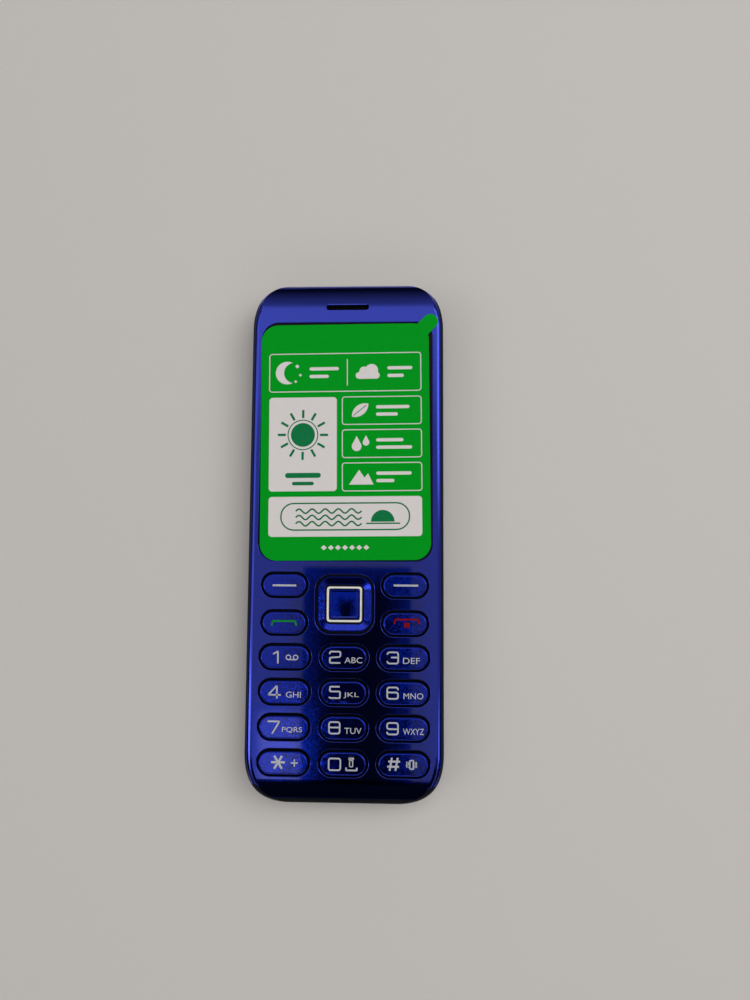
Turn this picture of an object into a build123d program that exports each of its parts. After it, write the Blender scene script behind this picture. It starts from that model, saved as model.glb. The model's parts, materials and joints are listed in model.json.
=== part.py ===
"""A slim feature phone with twelve digit keys, two soft keys, call and end keys and a
four-way rocker round an OK key. It lies on its back: the front face looks along +Z, the
top end with the earpiece points along +Y, and +X is to the right of a person using it.
The origin is under the middle of the body, on the face it rests on. Lengths are in mm.
"""

import os
from math import radians, sin

from build123d import *

os.makedirs("parts", exist_ok=True)

# Casing walls and clearances
body_width = 50.0
side_wall = 1.2
cover_floor = 1.0
cover_rim = 2.0  # height of the battery cover's edge above the rest face
parting_gap = 0.05  # hairline between the cover and the chassis
chassis_floor = 0.95  # back wall of the chassis
end_straight = 25.4  # straight part of both ends, between the curved corners
corner_pull_share = 0.688  # fullness of the corner curve, 0.552 would be a circle
edge_roll = 2.3  # rounded edge of the front along the sides
foot_roll = 2.8  # rounded edge of the back
end_radius = 24.7  # gentle curve of the front towards both ends
top_run = 9.0  # length of that curve at the top end
bottom_run = 6.1  # and at the bottom end
end_round = 2.0  # rounding where the end curve turns down
lip_wall = 0.5  # tongue of the chassis that stands inside the front housing
lip_height = 0.6
lip_gap = 0.05
overrun = 1.0  # how far every cutting solid runs past the wall it cuts
fine_gap = 0.05  # face to face clearance between pieces that only touch

# Stack from the back to the front
battery_gap = 0.2
battery_thickness = 4.8
bay_floor = 0.6
board_thickness = 0.8
display_thickness = 1.9
gasket_thickness = 0.2
ledge_thickness = 0.5
tape_thickness = 0.1
lens_thickness = 0.7
film_thickness = 0.12
board_sill = 0.4  # how far the chassis rises past the underside of the board

battery_bottom = cover_floor + battery_gap
battery_top = battery_bottom + battery_thickness
bay_ceiling = battery_top + battery_gap
board_bottom = bay_ceiling + bay_floor
board_top = board_bottom + board_thickness
display_top = board_top + display_thickness
wall_underside = display_top + gasket_thickness
lens_seat = wall_underside + ledge_thickness
lens_bottom = lens_seat + tape_thickness
face_height = lens_bottom + lens_thickness
front_wall = face_height - wall_underside
band_bottom = cover_rim + parting_gap
band_top = board_bottom + board_sill
floor_top = band_bottom + chassis_floor

# Layout of the front along the length, from the top end down
top_land = 1.9  # flat strip between the end curve and the lens
lens_length = 61.75
soft_land = 2.93  # between the lens and the soft keys' openings
soft_opening_height = 6.5
soft_gap = 2.94  # between the soft keys' openings and the call row's
call_gap = 1.93  # between the call row's openings and the first digits'
digit_opening_height = 6.65
row_gap = 1.95  # between rows of digit openings
digit_rows = 4
bottom_land = 0.66  # flat strip between the last openings and the end curve

top_margin = top_run + top_land
bottom_margin = bottom_run + bottom_land + digit_opening_height / 2
lens_to_soft_row = soft_land + soft_opening_height / 2
soft_to_call_row = soft_opening_height + soft_gap
call_to_digit_row = soft_opening_height / 2 + call_gap + digit_opening_height / 2
row_pitch = digit_opening_height + row_gap
keypad_length = soft_to_call_row + call_to_digit_row + row_pitch * (digit_rows - 1)
body_length = top_margin + lens_length + lens_to_soft_row + keypad_length + bottom_margin
half_width = body_width / 2
half_length = body_length / 2
corner_length = half_width - end_straight / 2
inner_half_width = half_width - side_wall
inner_half_length = half_length - side_wall
lens_top_y = half_length - top_margin
lens_bottom_y = lens_top_y - lens_length
lens_y = (lens_top_y + lens_bottom_y) / 2
soft_row_y = lens_bottom_y - lens_to_soft_row
call_row_y = soft_row_y - soft_to_call_row
first_digit_y = call_row_y - call_to_digit_row
nav_y = (soft_row_y + call_row_y) / 2

# Screen window
lens_land = 0.6  # flat strip between the rolled edge and the lens
lens_corner = 4.3
lens_gap = 0.1
lens_edge = 0.12
display_margin = 0.75  # the display stays this far inside the lens
display_corner = 0.6
tray_wall = 0.2
glass_thickness = 0.8
gasket_gap = 1.2  # the gasket stays clear of the picture
view_side = 3.0  # black border beside the picture
view_top = 4.5
view_bottom = 8.5
view_corner = 0.5
rim_round = 0.22  # rounded rim of the window and every key opening
lens_width = body_width - 2 * (edge_roll + lens_land)
display_width = lens_width - 2 * display_margin
display_length = lens_length - 2 * display_margin
display_bottom_y = lens_y - display_length / 2

# Protective film with its pull tab
film_side_margin = 0.35  # the film is smaller than the lens by this at each side
film_end_margin = 0.25  # and by this at each end
film_turn = 0.6  # degrees, stuck on a little crooked
film_shift = 0.3  # stuck on a little to the left
film_drop = 0.15  # and a little low
tab_radius = 1.95
tab_reach = 2.6  # from the film's corner out to the middle of the tab's round end
film_width = lens_width - 2 * film_side_margin
film_length = lens_length - 2 * film_end_margin

# Keys: three columns of openings in the housing, the caps are smaller by the gap
key_margin = 3.5  # from the side of the body to the outer digit openings
soft_margin = 3.8  # and to the openings of the soft and the call keys
middle_opening_width = 12.4
column_gap = 2.0  # between neighbouring digit openings
rocker_side_gap = 1.75  # between the rocker's opening and the keys beside it
key_gap = 0.5
key_lip = 0.4  # the flange under a cap reaches this far past the opening
flange_thickness = 0.5
cap_rise = 0.5  # cap tops stand this far above the face
cap_edge = 0.42
key_travel = 0.3
nib_length = 1.7
nib_radius = 0.22

# Keypad mat and snap domes under the keys
sheet_thickness = 0.1
dome_rise = 0.25
dome_radius = 2.0
dome_slope = 70  # degrees, from upright
dome_gap = 0.05
web_thickness = 0.4
plunger_radius = 1.4
mat_rim = 1.0
mat_side_gap = 0.9

flange_top = wall_underside - fine_gap
flange_bottom = flange_top - flange_thickness
web_bottom = flange_bottom - web_thickness
sheet_top = board_top + sheet_thickness
dome_top = sheet_top + dome_rise
plunger_bottom = dome_top + dome_gap

# Rocker and OK key
nav_opening = 14.9
nav_opening_corner = 4.0
nav_gap = 0.55
nav_bevel_drop = 1.2
nav_bevel_run = 2.0
nav_rise = 0.5
nav_tilt = 2.5  # degrees each way
frame_land = 0.35  # flat of the ring left round the metal frame
frame_band = 0.65
frame_corner = 1.15
frame_rise = 0.22  # above the ring it sits in
frame_depth = 0.6
frame_edge = 0.2
ok_gap = 0.3
ok_corner = 0.45
ok_bevel_run = 0.6
ok_bevel_drop = 0.3
ok_sink = 0.12  # its top lies this far below the metal frame's
ok_stem_radius = 1.8
plate_thickness = 0.3
plate_inset = 1.15  # the plate under the ring is smaller by this all round
plate_play = 0.12  # left over between the plate and what tips above it
nav_width = nav_opening - 2 * nav_gap
frame_width = nav_width - 2 * (nav_bevel_run + frame_land)
side_opening_width = half_width - key_margin - column_gap - middle_opening_width / 2
side_column = half_width - key_margin - side_opening_width / 2
soft_opening_width = half_width - soft_margin - nav_opening / 2 - rocker_side_gap
soft_column = half_width - soft_margin - soft_opening_width / 2

# Earpiece
slot_width = 10.9
slot_height = 1.35
slot_from_lens = 4.35  # from the lens up to the middle of the slot
slot_bevel = 0.18
receiver_width = 11.0
receiver_height = 5.0
mesh_thickness = 0.3
mesh_margin = 0.8  # each mesh is larger than its opening by this
slot_y = lens_top_y + slot_from_lens

# Screws and their towers
boss_radius = 1.5
boss_gap = 0.15
board_hole_gap = 0.2
tower_radius = 2.0
pilot_radius = 0.75
screw_radius = 0.7
screw_length = 5.0
head_radius = 1.3
head_height = 0.6
slot_cut = 0.35  # width of the cross in a screw head
head_depth = 1.35  # from the back of the chassis to the face under the head
top_boss_end = 5.9  # from the end of the body
bottom_boss_side = 7.5
bottom_boss_end = 4.3
middle_boss_side = 4.0

jack_width = 6.4
jack_x = end_straight / 2 - jack_width / 2 - boss_gap
top_boss_x = (jack_x + jack_width / 2 + inner_half_width) / 2  # midway between jack and wall
top_boss = (top_boss_x, half_length - top_boss_end)
middle_boss = (half_width - middle_boss_side, display_bottom_y - boss_gap - boss_radius)
bottom_boss = (half_width - bottom_boss_side, bottom_boss_end - half_length)
boss_places = [(side * x, y) for x, y in (top_boss, middle_boss, bottom_boss) for side in (-1, 1)]
head_seat = band_bottom + head_depth
screw_tip = head_seat + screw_length

# Battery, its bay and the card sockets at the head of the bay
side_channel = 5.6  # space kept between the bay and the side walls
bay_wall = 0.8
bay_gap = 0.4  # beside the battery
bay_bottom_margin = 10.3  # from the bottom end of the body to the bay
row_to_speaker = 2.26  # between the cans above the bay and the loudspeaker
battery_corner = 1.5
battery_edge = 0.3
terminal_width = 2.2
terminal_height = 1.6
terminal_pitch = 3.6
terminal_depth = 0.3
connector_gap = 0.4  # between the battery and its connector
connector_depth = 3.0
connector_height = 3.4
connector_width = 12.4
finger_width = 1.2
finger_reach = 0.3  # how far the contact fingers stand out of the connector
sim_socket_height = 1.5
sim_gap = 0.8
sim_wall = 0.5  # of the socket, beside the card
sim_end_wall = 0.9
sim_card_length = 25.2
sim_card_slot = 0.9
sim_key = 2.5  # cut corner of the card slot
pad_width = 1.6
pad_length = 2.2
pad_thickness = 0.2
pad_pitch_x = 7.6
pad_pitch_y = 2.6

bay_half_width = inner_half_width - side_channel - bay_wall
battery_width = 2 * (bay_half_width - bay_gap)
bay_bottom_y = bay_bottom_margin - half_length
sim_socket_length = sim_card_length + 2 * sim_end_wall
sim_socket_width = bay_half_width - sim_gap - sim_gap / 2
sim_card_width = sim_socket_width - 2 * sim_wall
sim_column = (sim_socket_width + sim_gap) / 2
channel_x = (bay_half_width + bay_wall + inner_half_width) / 2

# Shielded electronics and memory-card socket above the bay
can_gap = 1.3
can_side_gap = 2.5  # between the outer can and the side wall
can_length = 13.0
can_height = 2.0
can_wall = 0.2
logic_can_width = 12.0
chip_size = 8.5
chip_height = 1.0
card_socket_width = 14.0
card_socket_height = 1.5
card_socket_back = 1.0  # closed end behind the card
card_slot_width = 11.3
card_slot_height = 0.8
card_slot_middle = board_bottom - card_socket_height / 2
card_socket_x = can_gap * 2 + card_socket_width / 2
logic_can_x = card_socket_x - card_socket_width / 2 - can_gap - logic_can_width / 2
radio_can_high_x = logic_can_x - logic_can_width / 2 - can_gap
radio_can_width = radio_can_high_x + inner_half_width - can_side_gap
radio_can_x = radio_can_high_x - radio_can_width / 2

# Camera
camera_end = 16.3  # from the top end of the body
camera_base = 7.0
camera_base_height = 2.9
barrel_radius = 2.6
barrel_gap = 0.7
window_radius = 3.3
window_thickness = 0.6
window_gap = 0.05
trim_wall = 1.25
trim_recess = 0.35  # the trim stays this far above the rest face
trim_step = 0.15
trim_ledge = 0.5
trim_edge = 0.25
trim_gap = 0.25
camera_y = half_length - camera_end

# Loudspeaker
speaker_side_gap = 2.7  # between the speaker and the side wall
speaker_camera_gap = 2.6
speaker_length = 11.0
speaker_height = 3.5
speaker_corner = 1.5
speaker_end = 14.3
grille_slots = 5
grille_slot_length = 8.6
grille_slot_width = 0.9
grille_pitch = 1.7
grille_mesh = 0.2
speaker_y = half_length - speaker_end
speaker_width = inner_half_width - speaker_side_gap - camera_base / 2 - speaker_camera_gap
speaker_x = speaker_side_gap + speaker_width / 2 - inner_half_width

# The battery takes the length that the row of cans and the card sockets leave
upper_row_y = speaker_y - speaker_length / 2 - row_to_speaker - can_length / 2
bay_top_y = upper_row_y - can_length / 2 - can_gap - bay_wall
sim_low_y = bay_top_y - sim_gap - sim_socket_length
sim_y = sim_low_y + sim_socket_length / 2
connector_y = sim_low_y - sim_gap - connector_depth / 2
battery_low_y = bay_bottom_y + battery_gap
battery_high_y = connector_y - connector_depth / 2 - connector_gap
battery_length = battery_high_y - battery_low_y

# Sockets and torch in the ends
jack_length = 14.4
jack_height = 4.8
jack_radius = 1.8
jack_depth = 14.0
jack_mouth_gap = 0.1
jack_recess = 0.5  # the floor under the jack is thinner by this
usb_width = 7.6
usb_height = 2.5
usb_length = 5.2
usb_shell = 0.3
usb_corner = 0.9
usb_mouth_gap = 0.18
usb_inner_corner = usb_corner - usb_shell
usb_tongue_width = 3.8
usb_tongue_height = 0.6
usb_back_wall = 0.8
torch_radius = 1.6
torch_flange = 0.25
torch_flange_depth = 0.5
torch_mouth_gap = 0.05
led_width = 3.4
led_height = 2.2
led_depth = 1.6
led_gap = 0.3
torch_jack_gap = 4.3  # between the torch and the jack
torch_x = jack_x - jack_width / 2 - torch_jack_gap - torch_radius - torch_flange
torch_middle = floor_top + torch_radius + torch_flange + fine_gap
jack_middle = floor_top - jack_recess + fine_gap + jack_height / 2
usb_middle = board_bottom - usb_height / 2

# Vibration motor in the right-hand channel
motor_radius = 1.7
motor_length = 8.0
motor_cradle = 2.5
cradle_wall = 0.4
shaft_radius = 0.4
shaft_gap = 0.05
shaft_depth = 1.5
shaft_reach = 0.5
shaft_collar = 0.35
weight_radius = 1.55
weight_length = 3.2
weight_cut_share = 0.25  # how much of the radius stays past the axis
motor_middle = floor_top + motor_radius + battery_gap
motor_y = sim_low_y + motor_length

# Microphone and antenna at the bottom end
mic_radius = 2.0
mic_height = 1.8
mic_hole = 0.5
antenna_gap = 3.5  # between the antenna strip and the screw towers
antenna_length = 4.2
antenna_thickness = 0.2
antenna_end = 5.0
post_width = 1.6
post_length = 2.4
post_places_share = (0.34, 0.45)  # places of the two spring posts along the strip
antenna_width = 2 * (bottom_boss[0] - tower_radius - antenna_gap)
mic_x = -antenna_width / 2

# Battery cover details
tab_length = 6.0
tab_wall = 0.7
tab_height = 1.3
tab_gap = 0.25
tab_share = 0.72  # how far along the straight side the outer tabs sit
tab_edge = 0.3  # between a tab and the side wall
thumb_radius = 7.0
thumb_depth = 0.55
thumb_height = 0.9


def outline(inset):
    """Plan of the body, drawn in from its outside by inset."""
    x = half_width - inset
    y = half_length - inset
    corner = corner_length - inset
    pull = corner * corner_pull_share
    with BuildSketch() as plan:
        with BuildLine():
            Line((0, y), (x - corner, y))
            Bezier((x - corner, y), (x - corner + pull, y), (x, y - corner + pull), (x, y - corner))
            Line((x, y - corner), (x, 0))
            mirror(about=Plane.XZ)
            mirror(about=Plane.YZ)
        make_face()
    return plan.sketch


def side_view(inset, bottom, top):
    """Side view of the body: a flat front that curves down towards both ends."""
    end = half_length - inset
    upper = top_run - inset
    lower = bottom_run - inset
    upper_z = top - end_radius + (end_radius**2 - upper**2) ** 0.5
    lower_z = top - end_radius + (end_radius**2 - lower**2) ** 0.5
    with BuildSketch() as view:
        with BuildLine():
            Polyline((-end, lower_z), (-end, bottom), (end, bottom), (end, upper_z))
            RadiusArc((end, upper_z), (end - upper, top), -end_radius)
            Line((end - upper, top), (lower - end, top))
            RadiusArc((lower - end, top), (-end, lower_z), -end_radius)
        make_face()
        shoulders = view.vertices().filter_by(lambda v: bottom < v.Y < top)
        fillet(shoulders, radius=end_round - inset)
    return view.sketch


def body_form(inset, bottom, top, foot):
    """Solid of the whole casing: rolled edges, curved ends and a rounded foot."""
    with BuildPart() as form:
        with BuildSketch(Plane.XY.offset(bottom)):
            add(outline(inset))
        extrude(amount=top - bottom)
        fillet(form.faces().sort_by(Axis.Z)[-1].edges(), radius=edge_roll - inset)
        fillet(form.faces().sort_by(Axis.Z)[0].edges(), radius=foot)
        with BuildSketch(Plane.YZ):
            add(side_view(inset, bottom - overrun, top))
        extrude(amount=body_width, both=True, mode=Mode.INTERSECT)
    return form.part


def save(part, name):
    """Label a finished piece and write its STEP file."""
    part.label = name
    export_step(part, f"parts/{name}.step")


casing = body_form(0, 0, face_height, foot_roll)
casing_room = body_form(side_wall, cover_floor, wall_underside, foot_roll - side_wall)

# Places of the keys: node name, x, y and the size of the opening
digit_names = ["1", "2", "3", "4", "5", "6", "7", "8", "9", "star", "0", "hash"]
keys = [
    ("key_soft_left", -soft_column, soft_row_y, soft_opening_width, soft_opening_height),
    ("key_soft_right", soft_column, soft_row_y, soft_opening_width, soft_opening_height),
    ("key_call", -soft_column, call_row_y, soft_opening_width, soft_opening_height),
    ("key_end", soft_column, call_row_y, soft_opening_width, soft_opening_height),
]
for index, name in enumerate(digit_names):
    side = index % 3 - 1
    width = side_opening_width if side else middle_opening_width
    row = first_digit_y - row_pitch * (index // 3)
    keys.append((f"key_{name}", side * side_column, row, width, digit_opening_height))

# Front housing: painted shell with the window, the key openings and the earpiece slot
recess_width = lens_width + 2 * lens_gap
recess_length = lens_length + 2 * lens_gap
view_width = lens_width - 2 * view_side
view_length = lens_length - view_top - view_bottom
view_y = lens_bottom_y + view_bottom + view_length / 2
with BuildPart() as front_housing:
    add(casing)
    add(casing_room, mode=Mode.SUBTRACT)
    split(bisect_by=Plane.XY.offset(band_top), keep=Keep.TOP)
    with BuildSketch(Plane.XY.offset(face_height)):
        with Locations((0, lens_y)):
            RectangleRounded(recess_width, recess_length, lens_corner + lens_gap)
    extrude(amount=lens_seat - face_height, mode=Mode.SUBTRACT)
    with BuildSketch(Plane.XY.offset(face_height)):
        with Locations((0, view_y)):
            RectangleRounded(view_width, view_length, view_corner)
        for name, x, y, width, height in keys:
            with Locations((x, y)):
                SlotOverall(width, height)
        with Locations((0, nav_y)):
            RectangleRounded(nav_opening, nav_opening, nav_opening_corner)
    extrude(amount=-front_wall - overrun, mode=Mode.SUBTRACT)
    face = front_housing.faces().filter_by(Axis.Z).sort_by(Axis.Z)[-1]
    openings = [edge for wire in face.inner_wires() for edge in wire.edges()]
    fillet(openings, radius=rim_round)
    with BuildSketch(Plane.XY.offset(face_height)):
        with Locations((0, slot_y)):
            SlotOverall(slot_width, slot_height)
    extrude(amount=-front_wall - overrun, mode=Mode.SUBTRACT)
    brim = front_housing.edges().filter_by_position(Axis.X, -slot_width / 2, slot_width / 2)
    brim = brim.filter_by_position(Axis.Y, slot_y - slot_height, slot_y + slot_height)
    chamfer(brim.filter_by_position(Axis.Z, lens_bottom, face_height), length=slot_bevel)
    with BuildSketch(Plane.XY.offset(board_bottom)):
        with Locations(*boss_places):
            Circle(boss_radius)
    extrude(amount=wall_underside + ledge_thickness - board_bottom)
    with BuildSketch(Plane.XY.offset(board_bottom)):
        with Locations(*boss_places):
            Circle(pilot_radius)
    extrude(amount=screw_tip - board_bottom + fine_gap, mode=Mode.SUBTRACT)
save(front_housing.part, "front_housing")

# Lens on its adhesive tape, and the film stuck over it
with BuildPart() as lens_tape:
    with BuildSketch(Plane.XY.offset(lens_seat)):
        with Locations((0, lens_y)):
            RectangleRounded(lens_width, lens_length, lens_corner)
        with Locations((0, view_y)):
            RectangleRounded(view_width, view_length, view_corner, mode=Mode.SUBTRACT)
    extrude(amount=tape_thickness)
save(lens_tape.part, "lens_tape")

with BuildPart() as screen_lens:
    with BuildSketch(Plane.XY.offset(lens_bottom)):
        with Locations((0, lens_y)):
            RectangleRounded(lens_width, lens_length, lens_corner)
    extrude(amount=lens_thickness)
    chamfer(screen_lens.faces().sort_by(Axis.Z)[-1].edges(), length=lens_edge)
save(screen_lens.part, "screen_lens")

film_corner = (film_width / 2 - lens_corner / 2, film_length / 2 - lens_corner / 2)
tab_end = (film_corner[0] + tab_reach, film_corner[1] + tab_reach)
tab_middle = ((film_corner[0] + tab_end[0]) / 2, (film_corner[1] + tab_end[1]) / 2, 0)
with BuildPart() as protective_film:
    with BuildSketch(Plane.XY.offset(face_height)):
        with Locations(Location((-film_shift, lens_y - film_drop, 0), (0, 0, film_turn))):
            RectangleRounded(film_width, film_length, lens_corner)
            with Locations(tab_end):
                Circle(tab_radius)
            with Locations(Location(tab_middle, (0, 0, 45))):
                Rectangle(tab_reach * 2**0.5, 2 * tab_radius)
    extrude(amount=film_thickness)
save(protective_film.part, "protective_film")

# Keys: each cap stands on a flange that the housing holds in
cap_top = face_height + cap_rise
for name, x, y, width, height in keys:
    with BuildPart() as key:
        with BuildSketch(Plane.XY.offset(flange_bottom)):
            with Locations((x, y)):
                SlotOverall(width + 2 * key_lip, height + 2 * key_lip)
        extrude(amount=flange_thickness)
        with BuildSketch(Plane.XY.offset(flange_top)):
            with Locations((x, y)):
                SlotOverall(width - 2 * key_gap, height - 2 * key_gap)
        extrude(amount=cap_top - flange_top)
        fillet(key.faces().sort_by(Axis.Z)[-1].edges(), radius=cap_edge)
        if name == "key_5":
            with BuildSketch(Plane.YZ.offset(x)):
                with Locations((y - height / 2 + key_gap + cap_edge + nib_radius, cap_top)):
                    Circle(nib_radius)
            extrude(amount=nib_length / 2, both=True)
    save(key.part, name)

# Rocker: a plate that tips up and down carries a ring that tips left and right
nav_corner = nav_opening_corner - nav_gap
plate_width = nav_width - 2 * plate_inset
plate_swing = plate_width / 2 * sin(radians(nav_tilt))
plate_bottom = flange_bottom + fine_gap
plate_top = plate_bottom + plate_thickness
ring_bottom = plate_top + plate_swing + plate_play
ring_top = face_height + nav_rise
ring_shoulder = ring_top - nav_bevel_drop
frame_bottom = ring_top - frame_depth
frame_top = ring_top + frame_rise
frame_hole = frame_width - 2 * frame_band
frame_hole_corner = frame_corner - frame_band / 2
ok_width = frame_hole - 2 * ok_gap
ok_bottom = plate_top + key_travel + plate_swing
ok_top = frame_top - ok_sink

with BuildPart() as nav_plate:
    with BuildSketch(Plane.XY.offset(plate_bottom)):
        with Locations((0, nav_y)):
            RectangleRounded(plate_width, plate_width, nav_corner - plate_inset)
            Circle(ok_stem_radius + nav_gap, mode=Mode.SUBTRACT)
    extrude(amount=plate_thickness)
save(nav_plate.part, "nav_plate")

with BuildPart() as nav_ring:
    with BuildSketch(Plane.XY.offset(ring_bottom)):
        with Locations((0, nav_y)):
            RectangleRounded(nav_width, nav_width, nav_corner)
    extrude(amount=ring_shoulder - ring_bottom)
    top_width = nav_width - 2 * nav_bevel_run
    with BuildSketch(Plane.XY.offset(ring_shoulder)):
        with Locations((0, nav_y)):
            RectangleRounded(nav_width, nav_width, nav_corner)
    with BuildSketch(Plane.XY.offset(ring_top)):
        with Locations((0, nav_y)):
            RectangleRounded(top_width, top_width, nav_corner - nav_bevel_run)
    loft(ruled=True)
    with BuildSketch(Plane.XY.offset(ring_bottom)):
        with Locations((0, nav_y)):
            RectangleRounded(frame_hole, frame_hole, frame_hole_corner)
    extrude(amount=ring_top - ring_bottom, mode=Mode.SUBTRACT)
    with BuildSketch(Plane.XY.offset(frame_bottom)):
        with Locations((0, nav_y)):
            RectangleRounded(frame_width, frame_width, frame_corner)
    extrude(amount=frame_depth, mode=Mode.SUBTRACT)
save(nav_ring.part, "nav_ring")

with BuildPart() as nav_frame:
    with BuildSketch(Plane.XY.offset(frame_bottom)):
        with Locations((0, nav_y)):
            RectangleRounded(frame_width, frame_width, frame_corner)
            RectangleRounded(frame_hole, frame_hole, frame_hole_corner, mode=Mode.SUBTRACT)
    extrude(amount=frame_top - frame_bottom)
    fillet(nav_frame.faces().sort_by(Axis.Z)[-1].edges(), radius=frame_edge)
save(nav_frame.part, "nav_frame")

with BuildPart() as ok_key:
    with BuildSketch(Plane.XY.offset(flange_bottom)):
        with Locations((0, nav_y)):
            Circle(ok_stem_radius)
    extrude(amount=ok_bottom - flange_bottom)
    with BuildSketch(Plane.XY.offset(ok_bottom)):
        with Locations((0, nav_y)):
            RectangleRounded(ok_width, ok_width, ok_corner)
    extrude(amount=ok_top - ok_bottom - ok_bevel_drop)
    slope = ok_width - 2 * ok_bevel_run
    with BuildSketch(Plane.XY.offset(ok_top - ok_bevel_drop)):
        with Locations((0, nav_y)):
            Rectangle(ok_width - ok_corner / 2, ok_width - ok_corner / 2)
    with BuildSketch(Plane.XY.offset(ok_top)):
        with Locations((0, nav_y)):
            Rectangle(slope, slope)
    loft(ruled=True)
save(ok_key.part, "ok_key")

# Silicone mat with a plunger under every key, and the sheet of snap domes it presses
mat_top_y = middle_boss[1] - boss_radius - boss_gap
mat_bottom_y = bottom_boss[1] + boss_radius + boss_gap
mat_y = (mat_top_y + mat_bottom_y) / 2
mat_length = mat_top_y - mat_bottom_y
mat_inset = side_wall + mat_side_gap
rocker_reach = frame_width / 2
rocker_places = [(0, 0), (rocker_reach, 0), (-rocker_reach, 0), (0, rocker_reach), (0, -rocker_reach)]
switch_places = [(x, y) for name, x, y, width, height in keys]
switch_places += [(x, nav_y + y) for x, y in rocker_places]


def mat_plan(inset):
    """Plan of the keypad mat, drawn in from its edge by inset."""
    with BuildSketch() as plan:
        add(outline(mat_inset + inset))
        with Locations((0, mat_y)):
            Rectangle(body_width, mat_length - 2 * inset, mode=Mode.INTERSECT)
    return plan.sketch


with BuildPart() as keypad_mat:
    with BuildSketch(Plane.XY.offset(web_bottom)):
        add(mat_plan(0))
    extrude(amount=web_thickness)
    with BuildSketch(Plane.XY.offset(board_top)):
        add(mat_plan(0))
        add(mat_plan(mat_rim), mode=Mode.SUBTRACT)
        with Locations(*switch_places):
            Circle(dome_radius + boss_gap, mode=Mode.SUBTRACT)
    extrude(amount=web_bottom - board_top)
    with BuildSketch(Plane.XY.offset(plunger_bottom)):
        with Locations(*switch_places):
            Circle(plunger_radius)
    extrude(amount=web_bottom - plunger_bottom)
save(keypad_mat.part, "keypad_mat")

with BuildPart() as dome_sheet:
    with BuildSketch(Plane.XY.offset(board_top)):
        add(mat_plan(mat_rim + boss_gap))
    extrude(amount=sheet_thickness)
    with BuildSketch(Plane.XY.offset(sheet_top)):
        with Locations(*switch_places):
            Circle(dome_radius)
    extrude(amount=dome_rise, taper=dome_slope)
save(dome_sheet.part, "dome_sheet")

# Main board with holes for the screw bosses and a notch round the headphone jack
board_inset = side_wall + lip_gap + lip_wall + boss_gap
jack_y = inner_half_length - jack_length / 2
with BuildPart() as main_board:
    with BuildSketch(Plane.XY.offset(board_bottom)):
        add(outline(board_inset))
        with Locations(*boss_places):
            Circle(boss_radius + board_hole_gap, mode=Mode.SUBTRACT)
        with Locations((jack_x, jack_y)):
            Rectangle(jack_width + 2 * boss_gap, jack_length + 2 * boss_gap, mode=Mode.SUBTRACT)
    extrude(amount=board_thickness)
save(main_board.part, "main_board")

# Display: metal tray, light guide and glass, with a foam gasket against the housing
tray_bottom = board_top
tray_width = display_width - 2 * tray_wall
tray_length = display_length - 2 * tray_wall
glass_bottom = display_top - glass_thickness
with BuildPart() as display_tray:
    with BuildSketch(Plane.XY.offset(tray_bottom)):
        with Locations((0, lens_y)):
            RectangleRounded(display_width, display_length, display_corner)
    extrude(amount=display_thickness)
    with BuildSketch(Plane.XY.offset(tray_bottom + tray_wall)):
        with Locations((0, lens_y)):
            Rectangle(tray_width, tray_length)
    extrude(amount=display_thickness - tray_wall, mode=Mode.SUBTRACT)
save(display_tray.part, "display_tray")

with BuildPart() as display_backlight:
    with BuildSketch(Plane.XY.offset(tray_bottom + tray_wall)):
        with Locations((0, lens_y)):
            Rectangle(tray_width - 2 * fine_gap, tray_length - 2 * fine_gap)
    extrude(amount=glass_bottom - tray_bottom - tray_wall)
save(display_backlight.part, "display_backlight")

with BuildPart() as display_glass:
    with BuildSketch(Plane.XY.offset(glass_bottom)):
        with Locations((0, lens_y)):
            Rectangle(tray_width - 2 * fine_gap, tray_length - 2 * fine_gap)
    extrude(amount=glass_thickness)
save(display_glass.part, "display_glass")

with BuildPart() as display_gasket:
    with BuildSketch(Plane.XY.offset(display_top)):
        with Locations((0, lens_y)):
            RectangleRounded(display_width, display_length, display_corner)
        with Locations((0, view_y)):
            Rectangle(view_width + gasket_gap, view_length + gasket_gap, mode=Mode.SUBTRACT)
    extrude(amount=gasket_thickness)
save(display_gasket.part, "display_gasket")


def ceiling(y):
    """Height of the underside of the front wall at y, near the top end."""
    past = max(0, y - (half_length - top_run))
    return wall_underside - end_radius + (end_radius**2 - past**2) ** 0.5


# Earpiece: a mesh under the slot, and the receiver that speaks through it
mesh_height = slot_height + 2 * mesh_margin
mesh_top = ceiling(slot_y + mesh_height / 2) - fine_gap
with BuildPart() as earpiece_mesh:
    with BuildSketch(Plane.XY.offset(mesh_top - mesh_thickness)):
        with Locations((0, slot_y)):
            SlotOverall(slot_width + 2 * mesh_margin, mesh_height)
    extrude(amount=mesh_thickness)
save(earpiece_mesh.part, "earpiece_mesh")

receiver_top = min(mesh_top - mesh_thickness, ceiling(slot_y + receiver_height / 2) - fine_gap)
with BuildPart() as earpiece_receiver:
    with BuildSketch(Plane.XY.offset(board_top)):
        with Locations((0, slot_y)):
            RectangleRounded(receiver_width, receiver_height, speaker_corner)
    extrude(amount=receiver_top - board_top)
save(earpiece_receiver.part, "earpiece_receiver")

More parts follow.
